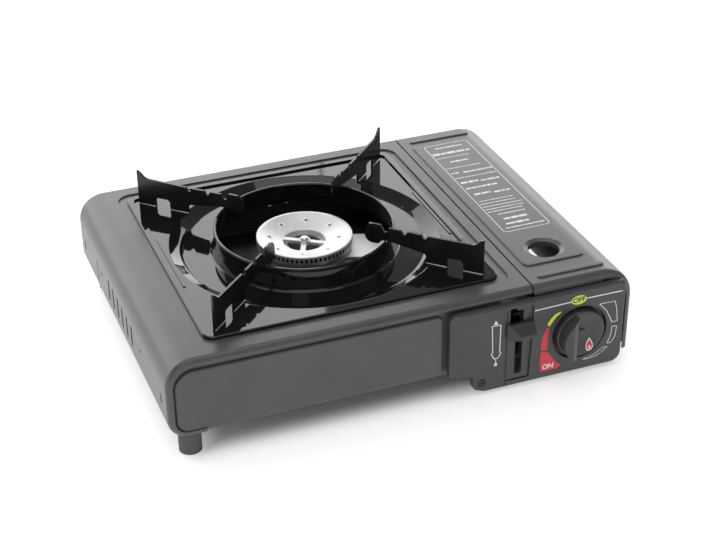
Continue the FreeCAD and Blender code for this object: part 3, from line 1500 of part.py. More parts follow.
def control_knob():
    """Disc in the pocket of the panel: a half round grip on its left, a dished face on its right."""
    piece = Piece("control_knob")
    radius = S.knob_size / 2
    front = -(KNOB_BACK + S.knob_grip)
    floor = -(KNOB_BACK + S.knob_disc - 1.6)
    grip = piece.sketch("XZ", KNOB_BACK)
    piece.circle(grip, DIAL_X, S.dial_z, radius - 1.6)
    piece.pad(grip, S.knob_grip)
    side = piece.sketch("XY", S.dial_z + radius + 1)
    right = DIAL_X - 4.4
    far = DIAL_X + radius + 1
    piece.outline(side, [
        (right, floor),
        (right - 0.8, front + 3.6, 4),
        (right - 6, front),
        (right - 6, front - 1),
        (far, front - 1),
        (far, floor),
    ])
    piece.cut(side, S.knob_size + 2)
    piece.fillet(1.2, lambda edge: edge_at(edge, 1, front) and edge.BoundBox.XLength > 0.1)
    disc = piece.sketch("XY", S.dial_z, across=DIAL_X, up=-KNOB_BACK)
    piece.outline(disc, [
        (0, 0),
        (radius, 0, 0.4),
        (radius - 0.8, -S.knob_disc, 1.4),
        (radius - 5, -S.knob_disc, 4),
        (radius - 12, -S.knob_disc + 1.6, 8),
        (0, -S.knob_disc + 1.6),
    ])
    piece.turned(disc)
    bore = piece.sketch("XZ", KNOB_BACK - 1)
    piece.circle(bore, DIAL_X, S.dial_z, S.stem_size / 2)
    piece.cut(bore, 7, back=True)
    return piece


def igniter_box():
    """Piezo unit under the regulator, struck by the stem at the end of its turn."""
    piece = Piece("igniter_box")
    box = piece.sketch("XZ", END_FACE - S.metal)
    piece.rectangle(box, (IGNITER_X - 7, FLOOR_TOP), (IGNITER_X + 7, FLOOR_TOP + 13), 2)
    piece.pad(box, 30, back=True)
    return piece


def electrode():
    """Ceramic rod with its spark pin bent toward the ports."""
    piece = Piece("electrode", x=S.burner_offset, turn=ELECTRODE_TURN)
    reach = S.head_radius + 9
    section = piece.sketch("XZ", across=reach)
    piece.outline(section, [
        (0, CHAMBER_BOTTOM - 8),
        (1, CHAMBER_BOTTOM - 8),
        (1, CHAMBER_BOTTOM - 4),
        (2.5, CHAMBER_BOTTOM - 4),
        (2.5, CHAMBER_BOTTOM + 4),
        (3.6, CHAMBER_BOTTOM + 4),
        (3.6, CHAMBER_BOTTOM + 7),
        (2.5, CHAMBER_BOTTOM + 7),
        (2.5, CHAMBER_TOP - 3),
        (1, CHAMBER_TOP - 3),
        (1, CHAMBER_TOP + 1),
        (0, CHAMBER_TOP + 1),
    ])
    piece.turned(section)
    return piece


def electrode_clip():
    """Sheet clip that holds the ceramic against the burner bracket."""
    piece = Piece("electrode_clip", x=S.burner_offset, turn=ELECTRODE_TURN)
    reach = S.head_radius + 9
    strip = piece.sketch("XY", CHAMBER_BOTTOM + 2.8)
    piece.outline(strip, [
        (S.base_radius, -5),
        (reach + 5, -5, 3),
        (reach + 5, 5, 3),
        (S.base_radius, 5),
    ])
    piece.circle(strip, reach, 0, 2.5)
    piece.pad(strip, 1.2)
    return piece


def left_feet():
    """Two tall rubber feet under the burner side."""
    piece = Piece("left_feet", x=LEFT + S.foot_side)
    low = piece.sketch("XY")
    piece.circle(low, 0, -(HALF_DEPTH - S.foot_end), S.foot_size / 2)
    first = piece.pad(low, S.shell_bottom)
    piece.mirror([first], "XZ")
    return piece


def right_feet():
    """Two low rubber feet under the cartridge tray."""
    piece = Piece("right_feet", x=VALVE_X + 20)
    low = piece.sketch("XY")
    piece.circle(low, 0, -(HALF_DEPTH - S.foot_end), S.foot_size / 2)
    first = piece.pad(low, S.floor_height)
    piece.mirror([first], "XZ")
    return piece


def igniter_wire():
    """Insulated lead from the igniter, through the partition, to the foot of the electrode."""
    place = electrode_place()
    level = FLOOR_TOP.number + 7
    rear = -(END_FACE - S.metal).number + 30
    points = [
        FreeCAD.Vector(IGNITER_X.number, rear, level),
        FreeCAD.Vector(IGNITER_X.number, rear + 12, level),
        FreeCAD.Vector(PARTITION_X.number + 4, WIRE_Y.number, WIRE_Z),
        FreeCAD.Vector(PARTITION_X.number - 14, WIRE_Y.number, WIRE_Z),
        FreeCAD.Vector(PARTITION_X.number - 40, WIRE_Y.number + 8, WIRE_Z - 2),
        FreeCAD.Vector(place.x + 18, place.y - 16, WIRE_Z),
        FreeCAD.Vector(place.x, place.y, WIRE_Z + 2),
        FreeCAD.Vector(place.x, place.y, CHAMBER_BOTTOM.number - 8),
    ]
    radii = arc_radii(points)
    print("igniter_wire radii", [round(radius, 1) for radius in radii])
    return swept_tube("igniter_wire", points, radii, WIRE_SIZE / 2)


def arc_radii(points):
    """The largest arc at each inner point, from 0.45 of the shorter run beside it."""
    radii = []
    for index in range(1, len(points) - 1):
        before = points[index - 1] - points[index]
        after = points[index + 1] - points[index]
        half = before.getAngle(after) / 2
        radii.append(0.45 * min(before.Length, after.Length) * math.tan(half))
    return radii


PIECES = [
    body_shell, front_panel, rear_panel, base_plate, partition, cartridge_tray, control_bracket,
    left_feet, right_feet, hinge_brackets, hinge_pins, carriage_guides,
    burner_bracket, burner_base, heat_plate, burner_head, burner_screw, mixing_tube, injector, gas_pipe,
    regulator_body, regulator_cap, inlet_nozzle, inlet_seal, neck_guide,
    igniter_box, igniter_wire, electrode, electrode_clip,
    control_panel, panel_screw, lid, lever_handle, cam_plate, carriage, follower_pin,
    control_knob, valve_stem, drip_tray, pan_supports,
]


def check_and_write():
    doc.recompute()
    for thing in doc.Objects:
        if "Invalid" in thing.State or "Error" in thing.State:
            raise ValueError("%s did not build" % thing.Name)
    subparts = [thing for thing in doc.Objects if thing.Label in LABELS]
    os.makedirs("parts", exist_ok=True)
    for thing in subparts:
        if thing.Shape.isNull() or not thing.Shape.isValid():
            raise ValueError("%s has no valid shape" % thing.Label)
    for thing in subparts:
        thing.Shape.exportStep("parts/%s.step" % thing.Label)
        print(thing.Label, len(thing.Shape.Solids), round(thing.Shape.Volume, 1))


LABELS = []
for build in PIECES:
    made = build()
    for piece in made if isinstance(made, list) else [made]:
        LABELS.append(piece.body.Label if isinstance(piece, Piece) else piece.Label)
check_and_write()
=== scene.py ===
import json
import math
import random

import bmesh
import bpy
from mathutils import Matrix, Vector
from mathutils.bvhtree import BVHTree


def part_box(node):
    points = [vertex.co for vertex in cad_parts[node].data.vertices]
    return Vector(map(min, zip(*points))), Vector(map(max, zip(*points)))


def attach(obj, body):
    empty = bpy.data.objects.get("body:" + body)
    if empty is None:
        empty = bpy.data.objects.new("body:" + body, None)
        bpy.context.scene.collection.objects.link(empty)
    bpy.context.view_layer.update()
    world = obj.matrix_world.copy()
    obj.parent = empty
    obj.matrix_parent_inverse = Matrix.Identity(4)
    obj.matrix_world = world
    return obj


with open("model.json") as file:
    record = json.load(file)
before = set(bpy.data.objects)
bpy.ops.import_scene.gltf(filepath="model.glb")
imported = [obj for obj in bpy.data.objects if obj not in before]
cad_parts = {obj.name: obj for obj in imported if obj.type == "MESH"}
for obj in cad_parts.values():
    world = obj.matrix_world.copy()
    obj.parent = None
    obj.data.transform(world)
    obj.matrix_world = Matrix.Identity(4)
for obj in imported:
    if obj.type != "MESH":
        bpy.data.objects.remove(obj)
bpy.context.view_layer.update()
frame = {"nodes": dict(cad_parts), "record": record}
NODES = frame["nodes"]
MM = 0.001
SHELL_LOW, SHELL_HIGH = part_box("body_shell")
MIDDLE = (SHELL_LOW[1] + SHELL_HIGH[1]) / 2 / MM


def at(x, y, z):
    """A place in millimetres from the middle of the body, as a point of the row frame."""
    return Vector((x * MM, (y + MIDDLE) * MM, z * MM))


def made_from(bm, name):
    """The finished mesh as an object of the scene."""
    mesh = bpy.data.meshes.new(name)
    bm.to_mesh(mesh)
    bm.free()
    made = bpy.data.objects.new(name, mesh)
    bpy.context.scene.collection.objects.link(made)
    return made


# Materials

# The part of a noise's range that holds nearly all of it
NOISE_LOW, NOISE_HIGH = 0.3, 0.7
# Scale of a coating's cloudy tone, against that of its slow waves
TONE_TO_WAVE = 0.7
# Share of the clouds in a metal's colour, the rest being grain
CLOUD_SHARE = 0.4
INK_ROUGH = (0.40, 0.53)
INK_DARKER = 0.86


def new_material(name):
    """A material with its node tree and its shader."""
    made = bpy.data.materials.new(name)
    made.use_nodes = True
    return made, made.node_tree, made.node_tree.nodes["Principled BSDF"]


def node(tree, kind, **values):
    """A new node with the stated values set on it."""
    made = tree.nodes.new(kind)
    for key, value in values.items():
        setattr(made, key, value)
    return made


def coordinates(tree, stretch=(1, 1, 1)):
    """Places on the object in metres, stretched for drawn grain."""
    source = node(tree, "ShaderNodeTexCoord")
    mapping = node(tree, "ShaderNodeMapping")
    mapping.inputs["Scale"].default_value = stretch
    tree.links.new(source.outputs["Object"], mapping.inputs["Vector"])
    return mapping.outputs["Vector"]


def noise(tree, place, scale, detail, roughness=0.5):
    """Noise from 0 to 1."""
    made = node(tree, "ShaderNodeTexNoise")
    made.inputs["Scale"].default_value = scale
    made.inputs["Detail"].default_value = detail
    made.inputs["Roughness"].default_value = roughness
    tree.links.new(place, made.inputs["Vector"])
    return made.outputs["Fac"]


def ramp(tree, source, low, high):
    """A colour that goes from low to high with the noise."""
    made = node(tree, "ShaderNodeValToRGB")
    made.color_ramp.elements[0].position = NOISE_LOW
    made.color_ramp.elements[1].position = NOISE_HIGH
    made.color_ramp.elements[0].color = (*low, 1)
    made.color_ramp.elements[1].color = (*high, 1)
    tree.links.new(source, made.inputs["Fac"])
    return made.outputs["Color"]


def spread(tree, source, low, high):
    """A number that goes from low to high with the noise."""
    made = node(tree, "ShaderNodeMapRange")
    made.inputs["From Min"].default_value = NOISE_LOW
    made.inputs["From Max"].default_value = NOISE_HIGH
    made.inputs["To Min"].default_value = low
    made.inputs["To Max"].default_value = high
    tree.links.new(source, made.inputs["Value"])
    return made.outputs["Result"]


def bump(tree, shader, layers):
    """Layers of (height, strength, distance) laid over each other."""
    last = None
    for height, strength, distance in layers:
        made = node(tree, "ShaderNodeBump")
        made.inputs["Strength"].default_value = strength
        made.inputs["Distance"].default_value = distance
        tree.links.new(height, made.inputs["Height"])
        if last is not None:
            tree.links.new(last, made.inputs["Normal"])
        last = made.outputs["Normal"]
    tree.links.new(last, shader.inputs["Normal"])


def coating(name, dark, light, rough, coat=0.0, grain=900.0, grain_depth=0.00003,
            wave=45.0, wave_depth=0.00006):
    """Paint, enamel or moulded plastic: uneven colour and gloss, fine grain and slow waves."""
    made, tree, shader = new_material(name)
    place = coordinates(tree)
    tone = noise(tree, place, wave * TONE_TO_WAVE, 4)
    fine = noise(tree, place, grain, 2)
    slow = noise(tree, place, wave, 2)
    tree.links.new(ramp(tree, tone, dark, light), shader.inputs["Base Color"])
    tree.links.new(spread(tree, fine, *rough), shader.inputs["Roughness"])
    shader.inputs["Coat Weight"].default_value = coat
    shader.inputs["Coat Roughness"].default_value = 0.05
    bump(tree, shader, [(slow, 1.0, wave_depth), (fine, 1.0, grain_depth)])
    return made


def metal(name, dark, light, rough, stretch=(1, 1, 1), scale=300.0, depth=0.00002, metallic=1.0):
    """Bare metal: drawn or cast grain in its colour, gloss and relief."""
    made, tree, shader = new_material(name)
    place = coordinates(tree, stretch)
    grain = noise(tree, place, scale, 5, 0.6)
    cloud = noise(tree, coordinates(tree), 60.0, 3)
    mixed = node(tree, "ShaderNodeMix", data_type="FLOAT")
    mixed.inputs[0].default_value = CLOUD_SHARE
    tree.links.new(grain, mixed.inputs[2])
    tree.links.new(cloud, mixed.inputs[3])
    tree.links.new(ramp(tree, mixed.outputs[0], dark, light), shader.inputs["Base Color"])
    tree.links.new(spread(tree, grain, *rough), shader.inputs["Roughness"])
    shader.inputs["Metallic"].default_value = metallic
    bump(tree, shader, [(grain, 1.0, depth)])
    return made


def port_shaded_head(name):
    """The burner head's bright aluminium, with painted shade inside the ports round its skirt."""
    made = metal(name, *ALUMINIUM, scale=1100.0, depth=0.00004, metallic=0.7)
    tree = made.node_tree
    shader = tree.nodes["Principled BSDF"]
    low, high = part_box("burner_head")
    centre = (low + high) / 2
    source = node(tree, "ShaderNodeTexCoord")
    moved = node(tree, "ShaderNodeVectorMath", operation="SUBTRACT")
    moved.inputs[1].default_value = (centre.x, centre.y, high.z)
    tree.links.new(source.outputs["Object"], moved.inputs[0])
    flat = node(tree, "ShaderNodeVectorMath", operation="MULTIPLY")
    flat.inputs[1].default_value = (1, 1, 0)
    tree.links.new(moved.outputs[0], flat.inputs[0])
    reach = node(tree, "ShaderNodeVectorMath", operation="LENGTH")
    tree.links.new(flat.outputs[0], reach.inputs[0])
    level = node(tree, "ShaderNodeSeparateXYZ")
    tree.links.new(moved.outputs[0], level.inputs[0])
    inside = []
    measures = ((reach.outputs["Value"], PORT_REACH), (level.outputs["Z"], PORT_LEVEL))
    for measure, (start, end) in measures:
        share = node(tree, "ShaderNodeMath", operation="COMPARE")
        share.inputs[1].default_value = (start + end) / 2 * MM
        share.inputs[2].default_value = (end - start) / 2 * MM
        tree.links.new(measure, share.inputs[0])
        inside.append(share)
    both = node(tree, "ShaderNodeMath", operation="MULTIPLY")
    tree.links.new(inside[0].outputs[0], both.inputs[0])
    tree.links.new(inside[1].outputs[0], both.inputs[1])
    # Painted shade: inside the ports the colour is made near black
    mixed = node(tree, "ShaderNodeMix", data_type="RGBA")
    tree.links.new(both.outputs[0], mixed.inputs[0])
    tree.links.new(shader.inputs["Base Color"].links[0].from_socket, mixed.inputs[6])
    mixed.inputs[7].default_value = PORT_SHADE
    tree.links.new(mixed.outputs[2], shader.inputs["Base Color"])
    return made


def ink(name, color):
    """Printed ink with a slightly uneven lay."""
    made, tree, shader = new_material(name)
    place = coordinates(tree)
    fine = noise(tree, place, 2500.0, 2)
    darker = tuple(value * INK_DARKER for value in color)
    tree.links.new(ramp(tree, fine, darker, color), shader.inputs["Base Color"])
    tree.links.new(spread(tree, fine, *INK_ROUGH), shader.inputs["Roughness"])
    bump(tree, shader, [(fine, 0.5, 0.00001)])
    return made


ALUMINIUM = ((0.62, 0.62, 0.61), (0.78, 0.78, 0.77), (0.36, 0.52))
# Near-black painted shade for the insides of the burner's ports
PORT_SHADE = (0.006, 0.006, 0.007, 1)
# The ports of the burner head in millimetres: out from its axis, and up from its top
PORT_REACH = (28.0, 34.9)
PORT_LEVEL = (-4.85, -1.85)
# Paint, enamel and plastic: dark and light tone, then lowest and highest roughness
FINISH = {
    "body_paint": coating("BodyPaint", (0.066, 0.068, 0.074), (0.080, 0.082, 0.089), (0.28, 0.38)),
    "lid_paint": coating("LidPaint", (0.066, 0.068, 0.074), (0.080, 0.082, 0.089), (0.28, 0.38)),
    "panel_plastic": coating("PanelPlastic", (0.050, 0.050, 0.053), (0.060, 0.060, 0.064), (0.42, 0.56),
                             grain=1600.0, grain_depth=0.00008),
    "lever_plastic": coating("LeverPlastic", (0.030, 0.030, 0.031), (0.038, 0.038, 0.039), (0.36, 0.48),
                             grain=1600.0, grain_depth=0.00006),
    "knob_plastic": coating("KnobPlastic", (0.036, 0.036, 0.038), (0.046, 0.046, 0.049), (0.32, 0.42),
                            grain=1400.0, grain_depth=0.00003),
    "tray_enamel": coating("TrayEnamel", (0.0060, 0.0060, 0.0070), (0.009, 0.009, 0.0105), (0.03, 0.06),
                           grain=700.0, grain_depth=0.000003, wave=28.0, wave_depth=0.00010),
    "support_enamel": coating("SupportEnamel", (0.007, 0.007, 0.0078), (0.012, 0.012, 0.013), (0.14, 0.24),
                              grain=500.0, grain_depth=0.00002),
    "bright_aluminium": metal("BrightAluminium", *ALUMINIUM, scale=1100.0, depth=0.00004, metallic=0.7),
    "cast_aluminium": metal("CastAluminium", (0.42, 0.42, 0.42), (0.58, 0.58, 0.57), (0.42, 0.6),
                            scale=700.0, depth=0.00008),
    "zinc_casting": metal("ZincCasting", (0.36, 0.36, 0.37), (0.50, 0.50, 0.51), (0.40, 0.58),
                          scale=600.0, depth=0.00006),
    "plated_sheet": metal("PlatedSheet", (0.46, 0.47, 0.48), (0.60, 0.61, 0.62), (0.28, 0.42),
                          stretch=(1, 6, 1), scale=120.0, depth=0.00001),
    "steel": metal("Steel", (0.50, 0.50, 0.51), (0.62, 0.62, 0.63), (0.26, 0.40),
                   stretch=(8, 1, 8), scale=160.0, depth=0.00001),
    "brass": metal("Brass", (0.60, 0.42, 0.17), (0.74, 0.55, 0.26), (0.24, 0.36), scale=400.0),
    "foot_rubber": coating("FootRubber", (0.075, 0.075, 0.080), (0.095, 0.095, 0.100), (0.72, 0.84),
                           grain=1100.0, grain_depth=0.00006),
    "seal_rubber": coating("SealRubber", (0.012, 0.012, 0.012), (0.018, 0.018, 0.018), (0.6, 0.72)),
    "igniter_plastic": coating("IgniterPlastic", (0.018, 0.018, 0.020), (0.026, 0.026, 0.028), (0.45, 0.58)),
    "wire_cover": coating("WireCover", (0.55, 0.53, 0.49), (0.66, 0.64, 0.60), (0.5, 0.62), grain=1500.0),
    "ceramic": coating("Ceramic", (0.72, 0.70, 0.66), (0.82, 0.81, 0.78), (0.16, 0.26), coat=0.5),
}
INNER_PAINT = coating("InnerPaint", (0.010, 0.010, 0.011), (0.016, 0.016, 0.017), (0.40, 0.52))
BLACKED_STEEL = metal("BlackedSteel", (0.050, 0.050, 0.052), (0.090, 0.090, 0.093), (0.34, 0.46), scale=500.0)
# Nodes whose finish isn't simply their slot's: dark sheets and steel, and the head with painted shade in its
# ports
OWN_FINISH = {"base_plate": INNER_PAINT, "cartridge_tray": INNER_PAINT, "partition": INNER_PAINT,
              "panel_screw": BLACKED_STEEL, "cam_plate": BLACKED_STEEL,
              "burner_head": port_shaded_head("HeadAluminium")}

for entry in frame["record"]["subparts"]:
    for slot in NODES[entry["node"]].material_slots:
        slot.link = "OBJECT"
        slot.material = OWN_FINISH.get(entry["node"], FINISH[entry["material_slot"]])

WHITE = ink("InkWhite", (0.82, 0.82, 0.82))
YELLOW = ink("InkYellow", (0.68, 0.84, 0.06))
RED = ink("InkRed", (0.72, 0.035, 0.05))
DARK = ink("InkDark", (0.020, 0.022, 0.012))


# Prints that lie on a face of the CAD model

# Planes in front of the panel and above the lid, in millimetres, where prints are drawn before they drop
FRONT_PLANE = -140
LID_PLANE = 90
TO_BACK = Vector((0, 1, 0))
DOWN = Vector((0, 0, -1))
# How far before its plane a drop starts, in metres
DROP_START = 0.05
# Height of a print over its face, in metres: the first layer, one over it and one over that
FILMS = (0.00005, 0.00009, 0.00013)


def tree_of(name):
    """A CAD node's surface, for dropping points on to it."""
    mesh = NODES[name].data
    places = [vert.co.copy() for vert in mesh.vertices]
    return BVHTree.FromPolygons(places, [face.vertices[:] for face in mesh.polygons])


def lay_on(bm, way, lift, name, body, material, carrier):
    """Drops a flat mesh along a way on to its carrier and leaves it a film's thickness above."""
    surface = tree_of(carrier)
    for vert in bm.verts:
        hit = surface.ray_cast(vert.co - way * DROP_START, way)[0]
        if hit is None:
            raise ValueError("print %s misses %s" % (name, carrier))
        vert.co = hit - way * lift
    bm.normal_update()
    for face in bm.faces:
        if face.normal.dot(way) > 0:
            face.normal_flip()
    made = made_from(bm, name)
    made.data.materials.append(material)
    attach(made, body)


def flat_mesh(loops, place):
    """Fills closed loops, an outer one and its holes, as one flat mesh in the row frame."""
    bm = bmesh.new()
    edges = []
    for loop in loops:
        verts = [bm.verts.new(place(a, b)) for a, b in loop]
        edges += [bm.edges.new((verts[i], verts[(i + 1) % len(verts)])) for i in range(len(verts))]
    bmesh.ops.triangle_fill(bm, use_beauty=True, use_dissolve=False, edges=edges)
    return bm


def on_panel(a, b):
    return at(a, FRONT_PLANE, b)


def on_lid(a, b):
    return at(a, b, LID_PLANE)


def panel_print(name, loops, material):
    lay_on(flat_mesh(loops, on_panel), TO_BACK, FILMS[0], name, "stove_frame", material, "control_panel")


def knob_print(name, loops, material, lift):
    lay_on(flat_mesh(loops, on_panel), TO_BACK, lift, name, "knob", material, "control_knob")


def line(a, b, width):
    """The four corners of a straight stroke."""
    ax, az = a
    bx, bz = b
    length = math.hypot(bx - ax, bz - az)
    nx = -(bz - az) / length * width / 2
    nz = (bx - ax) / length * width / 2
    return [(ax + nx, az + nz), (ax - nx, az - nz), (bx - nx, bz - nz), (bx + nx, bz + nz)]


def ellipse(cx, cz, half_wide, half_high, count=40):
    return [(cx + half_wide * math.cos(2 * math.pi * k / count),
             cz + half_high * math.sin(2 * math.pi * k / count)) for k in range(count)]


def inset(loop, amount):
    """A loop moved inwards, for outlines of even width."""
    count = len(loop)
    area = sum(loop[i][0] * loop[(i + 1) % count][1] - loop[(i + 1) % count][0] * loop[i][1]
               for i in range(count))
    sign = 1 if area > 0 else -1
    moved = []
    for i in range(count):
        before = Vector(loop[i]) - Vector(loop[i - 1])
        after = Vector(loop[(i + 1) % count]) - Vector(loop[i])
        first = Vector((-before.y, before.x)).normalized() * sign
        second = Vector((-after.y, after.x)).normalized() * sign
        middle = (first + second).normalized()
        reach = amount / max(0.35, middle.dot(first))
        moved.append((loop[i][0] + middle.x * reach, loop[i][1] + middle.y * reach))
    return moved


def rounded(corners, radius, count=6):
    """A polygon with its corners rounded."""
    points = []
    total = len(corners)
    for i in range(total):
        here = Vector(corners[i])
        before = (Vector(corners[i - 1]) - here).normalized()
        after = (Vector(corners[(i + 1) % total]) - here).normalized()
        half = before.angle(after) / 2
        reach = radius / math.tan(half)
        start = here + before * reach
        end = here + after * reach
        for step in range(count + 1):
            t = step / count
            points.append(tuple((1 - t) ** 2 * start + 2 * t * (1 - t) * here + t ** 2 * end))
    return points


def outline_mesh(loop, width, place):
    """A closed band of even width along the inside of a loop."""
    bm = bmesh.new()
    outer = [bm.verts.new(place(a, b)) for a, b in loop]
    inner = [bm.verts.new(place(a, b)) for a, b in inset(loop, width)]
    for i in range(len(loop)):
        bm.faces.new((outer[i - 1], outer[i], inner[i], inner[i - 1]))
    return bm


def panel_outline(name, loop, width):
    band = outline_mesh(loop, width, on_panel)
    lay_on(band, TO_BACK, FILMS[0], name, "stove_frame", WHITE, "control_panel")


LETTER_HEIGHT = 5.6
# How much bolder the letters are than the font's own, as a share of their height
LETTER_BOLD = 0.03


def lettering(name, text, place, material):
    """Plain block letters, upright on the front face."""
    curve = bpy.data.curves.new(name, "FONT")
    curve.body = text
    curve.align_x = "CENTER"
    curve.align_y = "CENTER"
    curve.size = LETTER_HEIGHT
    curve.resolution_u = 12
    curve.offset = LETTER_BOLD * LETTER_HEIGHT
    words = bpy.data.objects.new(name, curve)
    bpy.context.scene.collection.objects.link(words)
    bpy.context.view_layer.update()
    mesh = bpy.data.meshes.new_from_object(words)
    bpy.data.objects.remove(words)
    bm = bmesh.new()
    bm.from_mesh(mesh)
    cx, cz = place
    for vert in bm.verts:
        vert.co = on_panel(cx + vert.co.x, cz + vert.co.y)
    lay_on(bm, TO_BACK, FILMS[1], name, "stove_frame", material, "control_panel")


# Widths of the printed strokes
RULE = 0.9
OUTLINE = 0.5
THIN_OUTLINE = 0.42
BAR_OUTLINE = 0.7


def dial_prints():
    """The scale round the knob: OFF, the lighting arc, ON and three heat sectors."""
    panel_print("print_rule_left", [line((91.3, 61.7), (119.4, 62.3), RULE)], WHITE)
    panel_print("print_rule_right", [line((132.1, 62.7), (160.0, 62.5), RULE)], WHITE)
    panel_print("print_off_oval", [ellipse(125.6, 62.7, 6.0, 3.6)], YELLOW)
    lettering("print_off", "OFF", (125.6, 62.6), DARK)
    panel_print("print_arc_yellow", [[(101.6, 47.6), (103.9, 51.6), (107.2, 55.0), (111.8, 56.5),
                                      (112.0, 55.4), (108.5, 52.6), (106.0, 49.5), (103.5, 46.2)]], YELLOW)
    panel_print("print_arc_red", [[(101.6, 45.2), (103.6, 45.0), (103.1, 40.6), (102.7, 35.7),
                                   (102.6, 30.7), (102.5, 26.1), (97.9, 27.2), (97.6, 32.8),
                                   (98.3, 37.6), (99.7, 41.5)]], RED)
    panel_print("print_on_sector", [rounded([(98.0, 25.9), (103.8, 24.1), (108.0, 17.1), (114.2, 11.0),
                                             (110.9, 8.8), (98.1, 8.9), (97.3, 18.0)], 0.8)], RED)
    lettering("print_on", "ON", (104.0, 12.3), WHITE)
    high = rounded([(141.4, 55.7), (154.9, 55.3), (156.6, 48.8), (158.0, 38.0), (153.2, 37.6),
                    (151.1, 42.6), (148.3, 48.2), (144.3, 52.9)], 0.7)
    middle = rounded([(153.4, 34.4), (157.9, 34.0), (157.1, 25.1), (154.2, 20.4), (150.4, 20.3),
                      (152.3, 24.5), (153.4, 29.8)], 0.7)
    low = rounded([(130.3, 11.1), (136.4, 10.8), (142.0, 11.5), (146.3, 13.6), (151.9, 17.6),
                   (147.8, 18.1), (143.7, 15.5), (139.8, 13.4), (134.7, 12.1)], 0.2)
    panel_outline("print_sector_high", high, OUTLINE)
    panel_outline("print_sector_mid", middle, OUTLINE)
    panel_outline("print_sector_low", low, THIN_OUTLINE)


def lever_prints():
    """The lever's travel as an outlined bar, with an arrow above it and a stem and dot below it."""
    bar = rounded([(58.5, 56.3), (66.2, 56.1), (66.1, 34.0), (67.2, 32.4), (64.7, 28.3),
                   (61.5, 28.3), (59.0, 32.8), (60.0, 34.4), (59.1, 54.1)], 0.4)
    panel_outline("print_bar", bar, BAR_OUTLINE)
    panel_print("print_arrow_up", [[(60.3, 56.9), (64.1, 56.8), (61.9, 60.2)]], WHITE)
    panel_print("print_stem", [line((63.0, 27.9), (63.0, 25.0), BAR_OUTLINE)], WHITE)
    panel_print("print_stem_dot", [ellipse(63.0, 23.6, 1.3, 1.3, 24)], WHITE)


DROP_POINTS = 36
# The most that the drop's curve reaches sideways before it is scaled to its width
DROP_REACH = 0.77


def drop(cx, cz, wide, high):
    """A flame: a drop with its tip up."""
    points = []
    for step in range(DROP_POINTS):
        turn = 2 * math.pi * step / DROP_POINTS
        aside = wide / DROP_REACH * math.sin(turn) * abs(math.sin(turn / 2))
        points.append((cx + aside, cz + high * math.cos(turn)))
    return points


def knob_prints():
    """The flame on the face of the knob."""
    knob_print("print_flame_edge", [drop(134.9, 25.1, 2.8, 5.3)], WHITE, FILMS[0])
    knob_print("print_flame", [drop(134.9, 24.8, 2.1, 4.3)], RED, FILMS[1])
    knob_print("print_flame_core", [drop(134.9, 23.0, 0.8, 1.7)], WHITE, FILMS[2])


# Rows of the lid's print: left end, right end, place along the body and thickness
LID_ROWS = (
    (114.7, 138.2, 94.4, 2.5), (108.4, 140.3, 84.5, 3.8), (109.0, 137.3, 77.1, 1.3),
    (116.5, 132.6, 68.6, 2.7), (108.5, 138.3, 58.2, 1.3), (118.7, 143.3, 48.5, 2.5),
    (108.6, 116.3, 49.3, 2.3), (108.3, 142.9, 40.5, 1.4), (125.5, 141.3, 30.8, 2.6),
    (109.1, 123.9, 32.0, 3.8), (108.9, 135.2, 21.8, 3.2), (111.1, 124.5, 11.0, 3.8),
    (127.0, 140.1, 9.5, 3.2), (109.1, 137.8, -1.0, 1.3), (108.4, 138.1, -5.6, 1.3),
    (108.4, 140.9, -10.4, 1.3), (108.4, 140.5, -14.8, 1.3), (108.4, 137.0, -19.0, 1.3),
    (113.9, 137.3, -24.4, 1.6), (115.0, 134.2, -32.4, 3.2), (113.0, 132.1, -40.0, 3.2),
    (110.4, 141.6, -46.0, 1.7),
)


def lid_prints():
    """A rounded outline with rows of plain dashes of uneven length."""
    edge = rounded([(106.9, 101.0), (145.0, 101.2), (144.3, -51.4), (106.4, -51.5)], 3.5, 8)
    lay_on(outline_mesh(edge, 0.7, on_lid), DOWN, FILMS[0], "print_lid_outline", "lid", WHITE, "lid")
    random.seed(7)
    for index, (left, right, level, thick) in enumerate(LID_ROWS):
        bm = bmesh.new()
        start = left
        while start < right - 0.8:
            end = min(right, start + thick * random.uniform(0.9, 2.6))
            half = thick * random.uniform(0.32, 0.48)
            corners = ((start, level - half), (end, level - half),
                       (end, level + half), (start, level + half))
            bm.faces.new([bm.verts.new(on_lid(a, b)) for a, b in corners])
            start = end + max(0.35, thick * 0.22)
        lay_on(bm, DOWN, FILMS[0], "print_lid_row_%02d" % index, "lid", WHITE, "lid")


# Small pieces that the CAD model leaves out

def polar_dome(name, radius, height, rings, sectors, recess=None, crown=3.2):
    """A round head that stands on z 0, in millimetres, and is flatter with a higher crown.

    A cross recess is given as half its width, its reach from the middle and its depth.
    """
    radius, height = radius * MM, height * MM
    bm = bmesh.new()
    around = []
    for ring in range(rings + 1):
        r = radius * ring / rings
        circle = []
        for sector in range(sectors if ring else 1):
            turn = 2 * math.pi * sector / sectors
            x, y = r * math.cos(turn), r * math.sin(turn)
            z = height * (1 - (r / radius) ** crown)
            if recess:
                half, reach, depth = (value * MM for value in recess)
                inside = (abs(x) < half and abs(y) < reach) or (abs(y) < half and abs(x) < reach)
                z -= depth if inside else 0
            circle.append(bm.verts.new((x, y, z)))
        around.append(circle)
    for ring in range(rings):
        inner, outer = around[ring], around[ring + 1]
        for sector in range(sectors):
            after = (sector + 1) % sectors
            if ring:
                bm.faces.new((inner[sector], outer[sector], outer[after], inner[after]))
            else:
                bm.faces.new((inner[0], outer[sector], outer[after]))
    for face in bm.faces:
        face.smooth = recess is None
    bm.faces.new(list(reversed(around[-1])))
    bm.normal_update()
    return made_from(bm, name)


def put(piece, place, facing, material, body):
    """Stands a piece on its place with its top facing a way."""
    turn = facing.to_track_quat("Z", "Y").to_matrix().to_4x4()
    piece.data.transform(Matrix.Translation(place) @ turn)
    piece.data.materials.append(material)
    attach(piece, body)


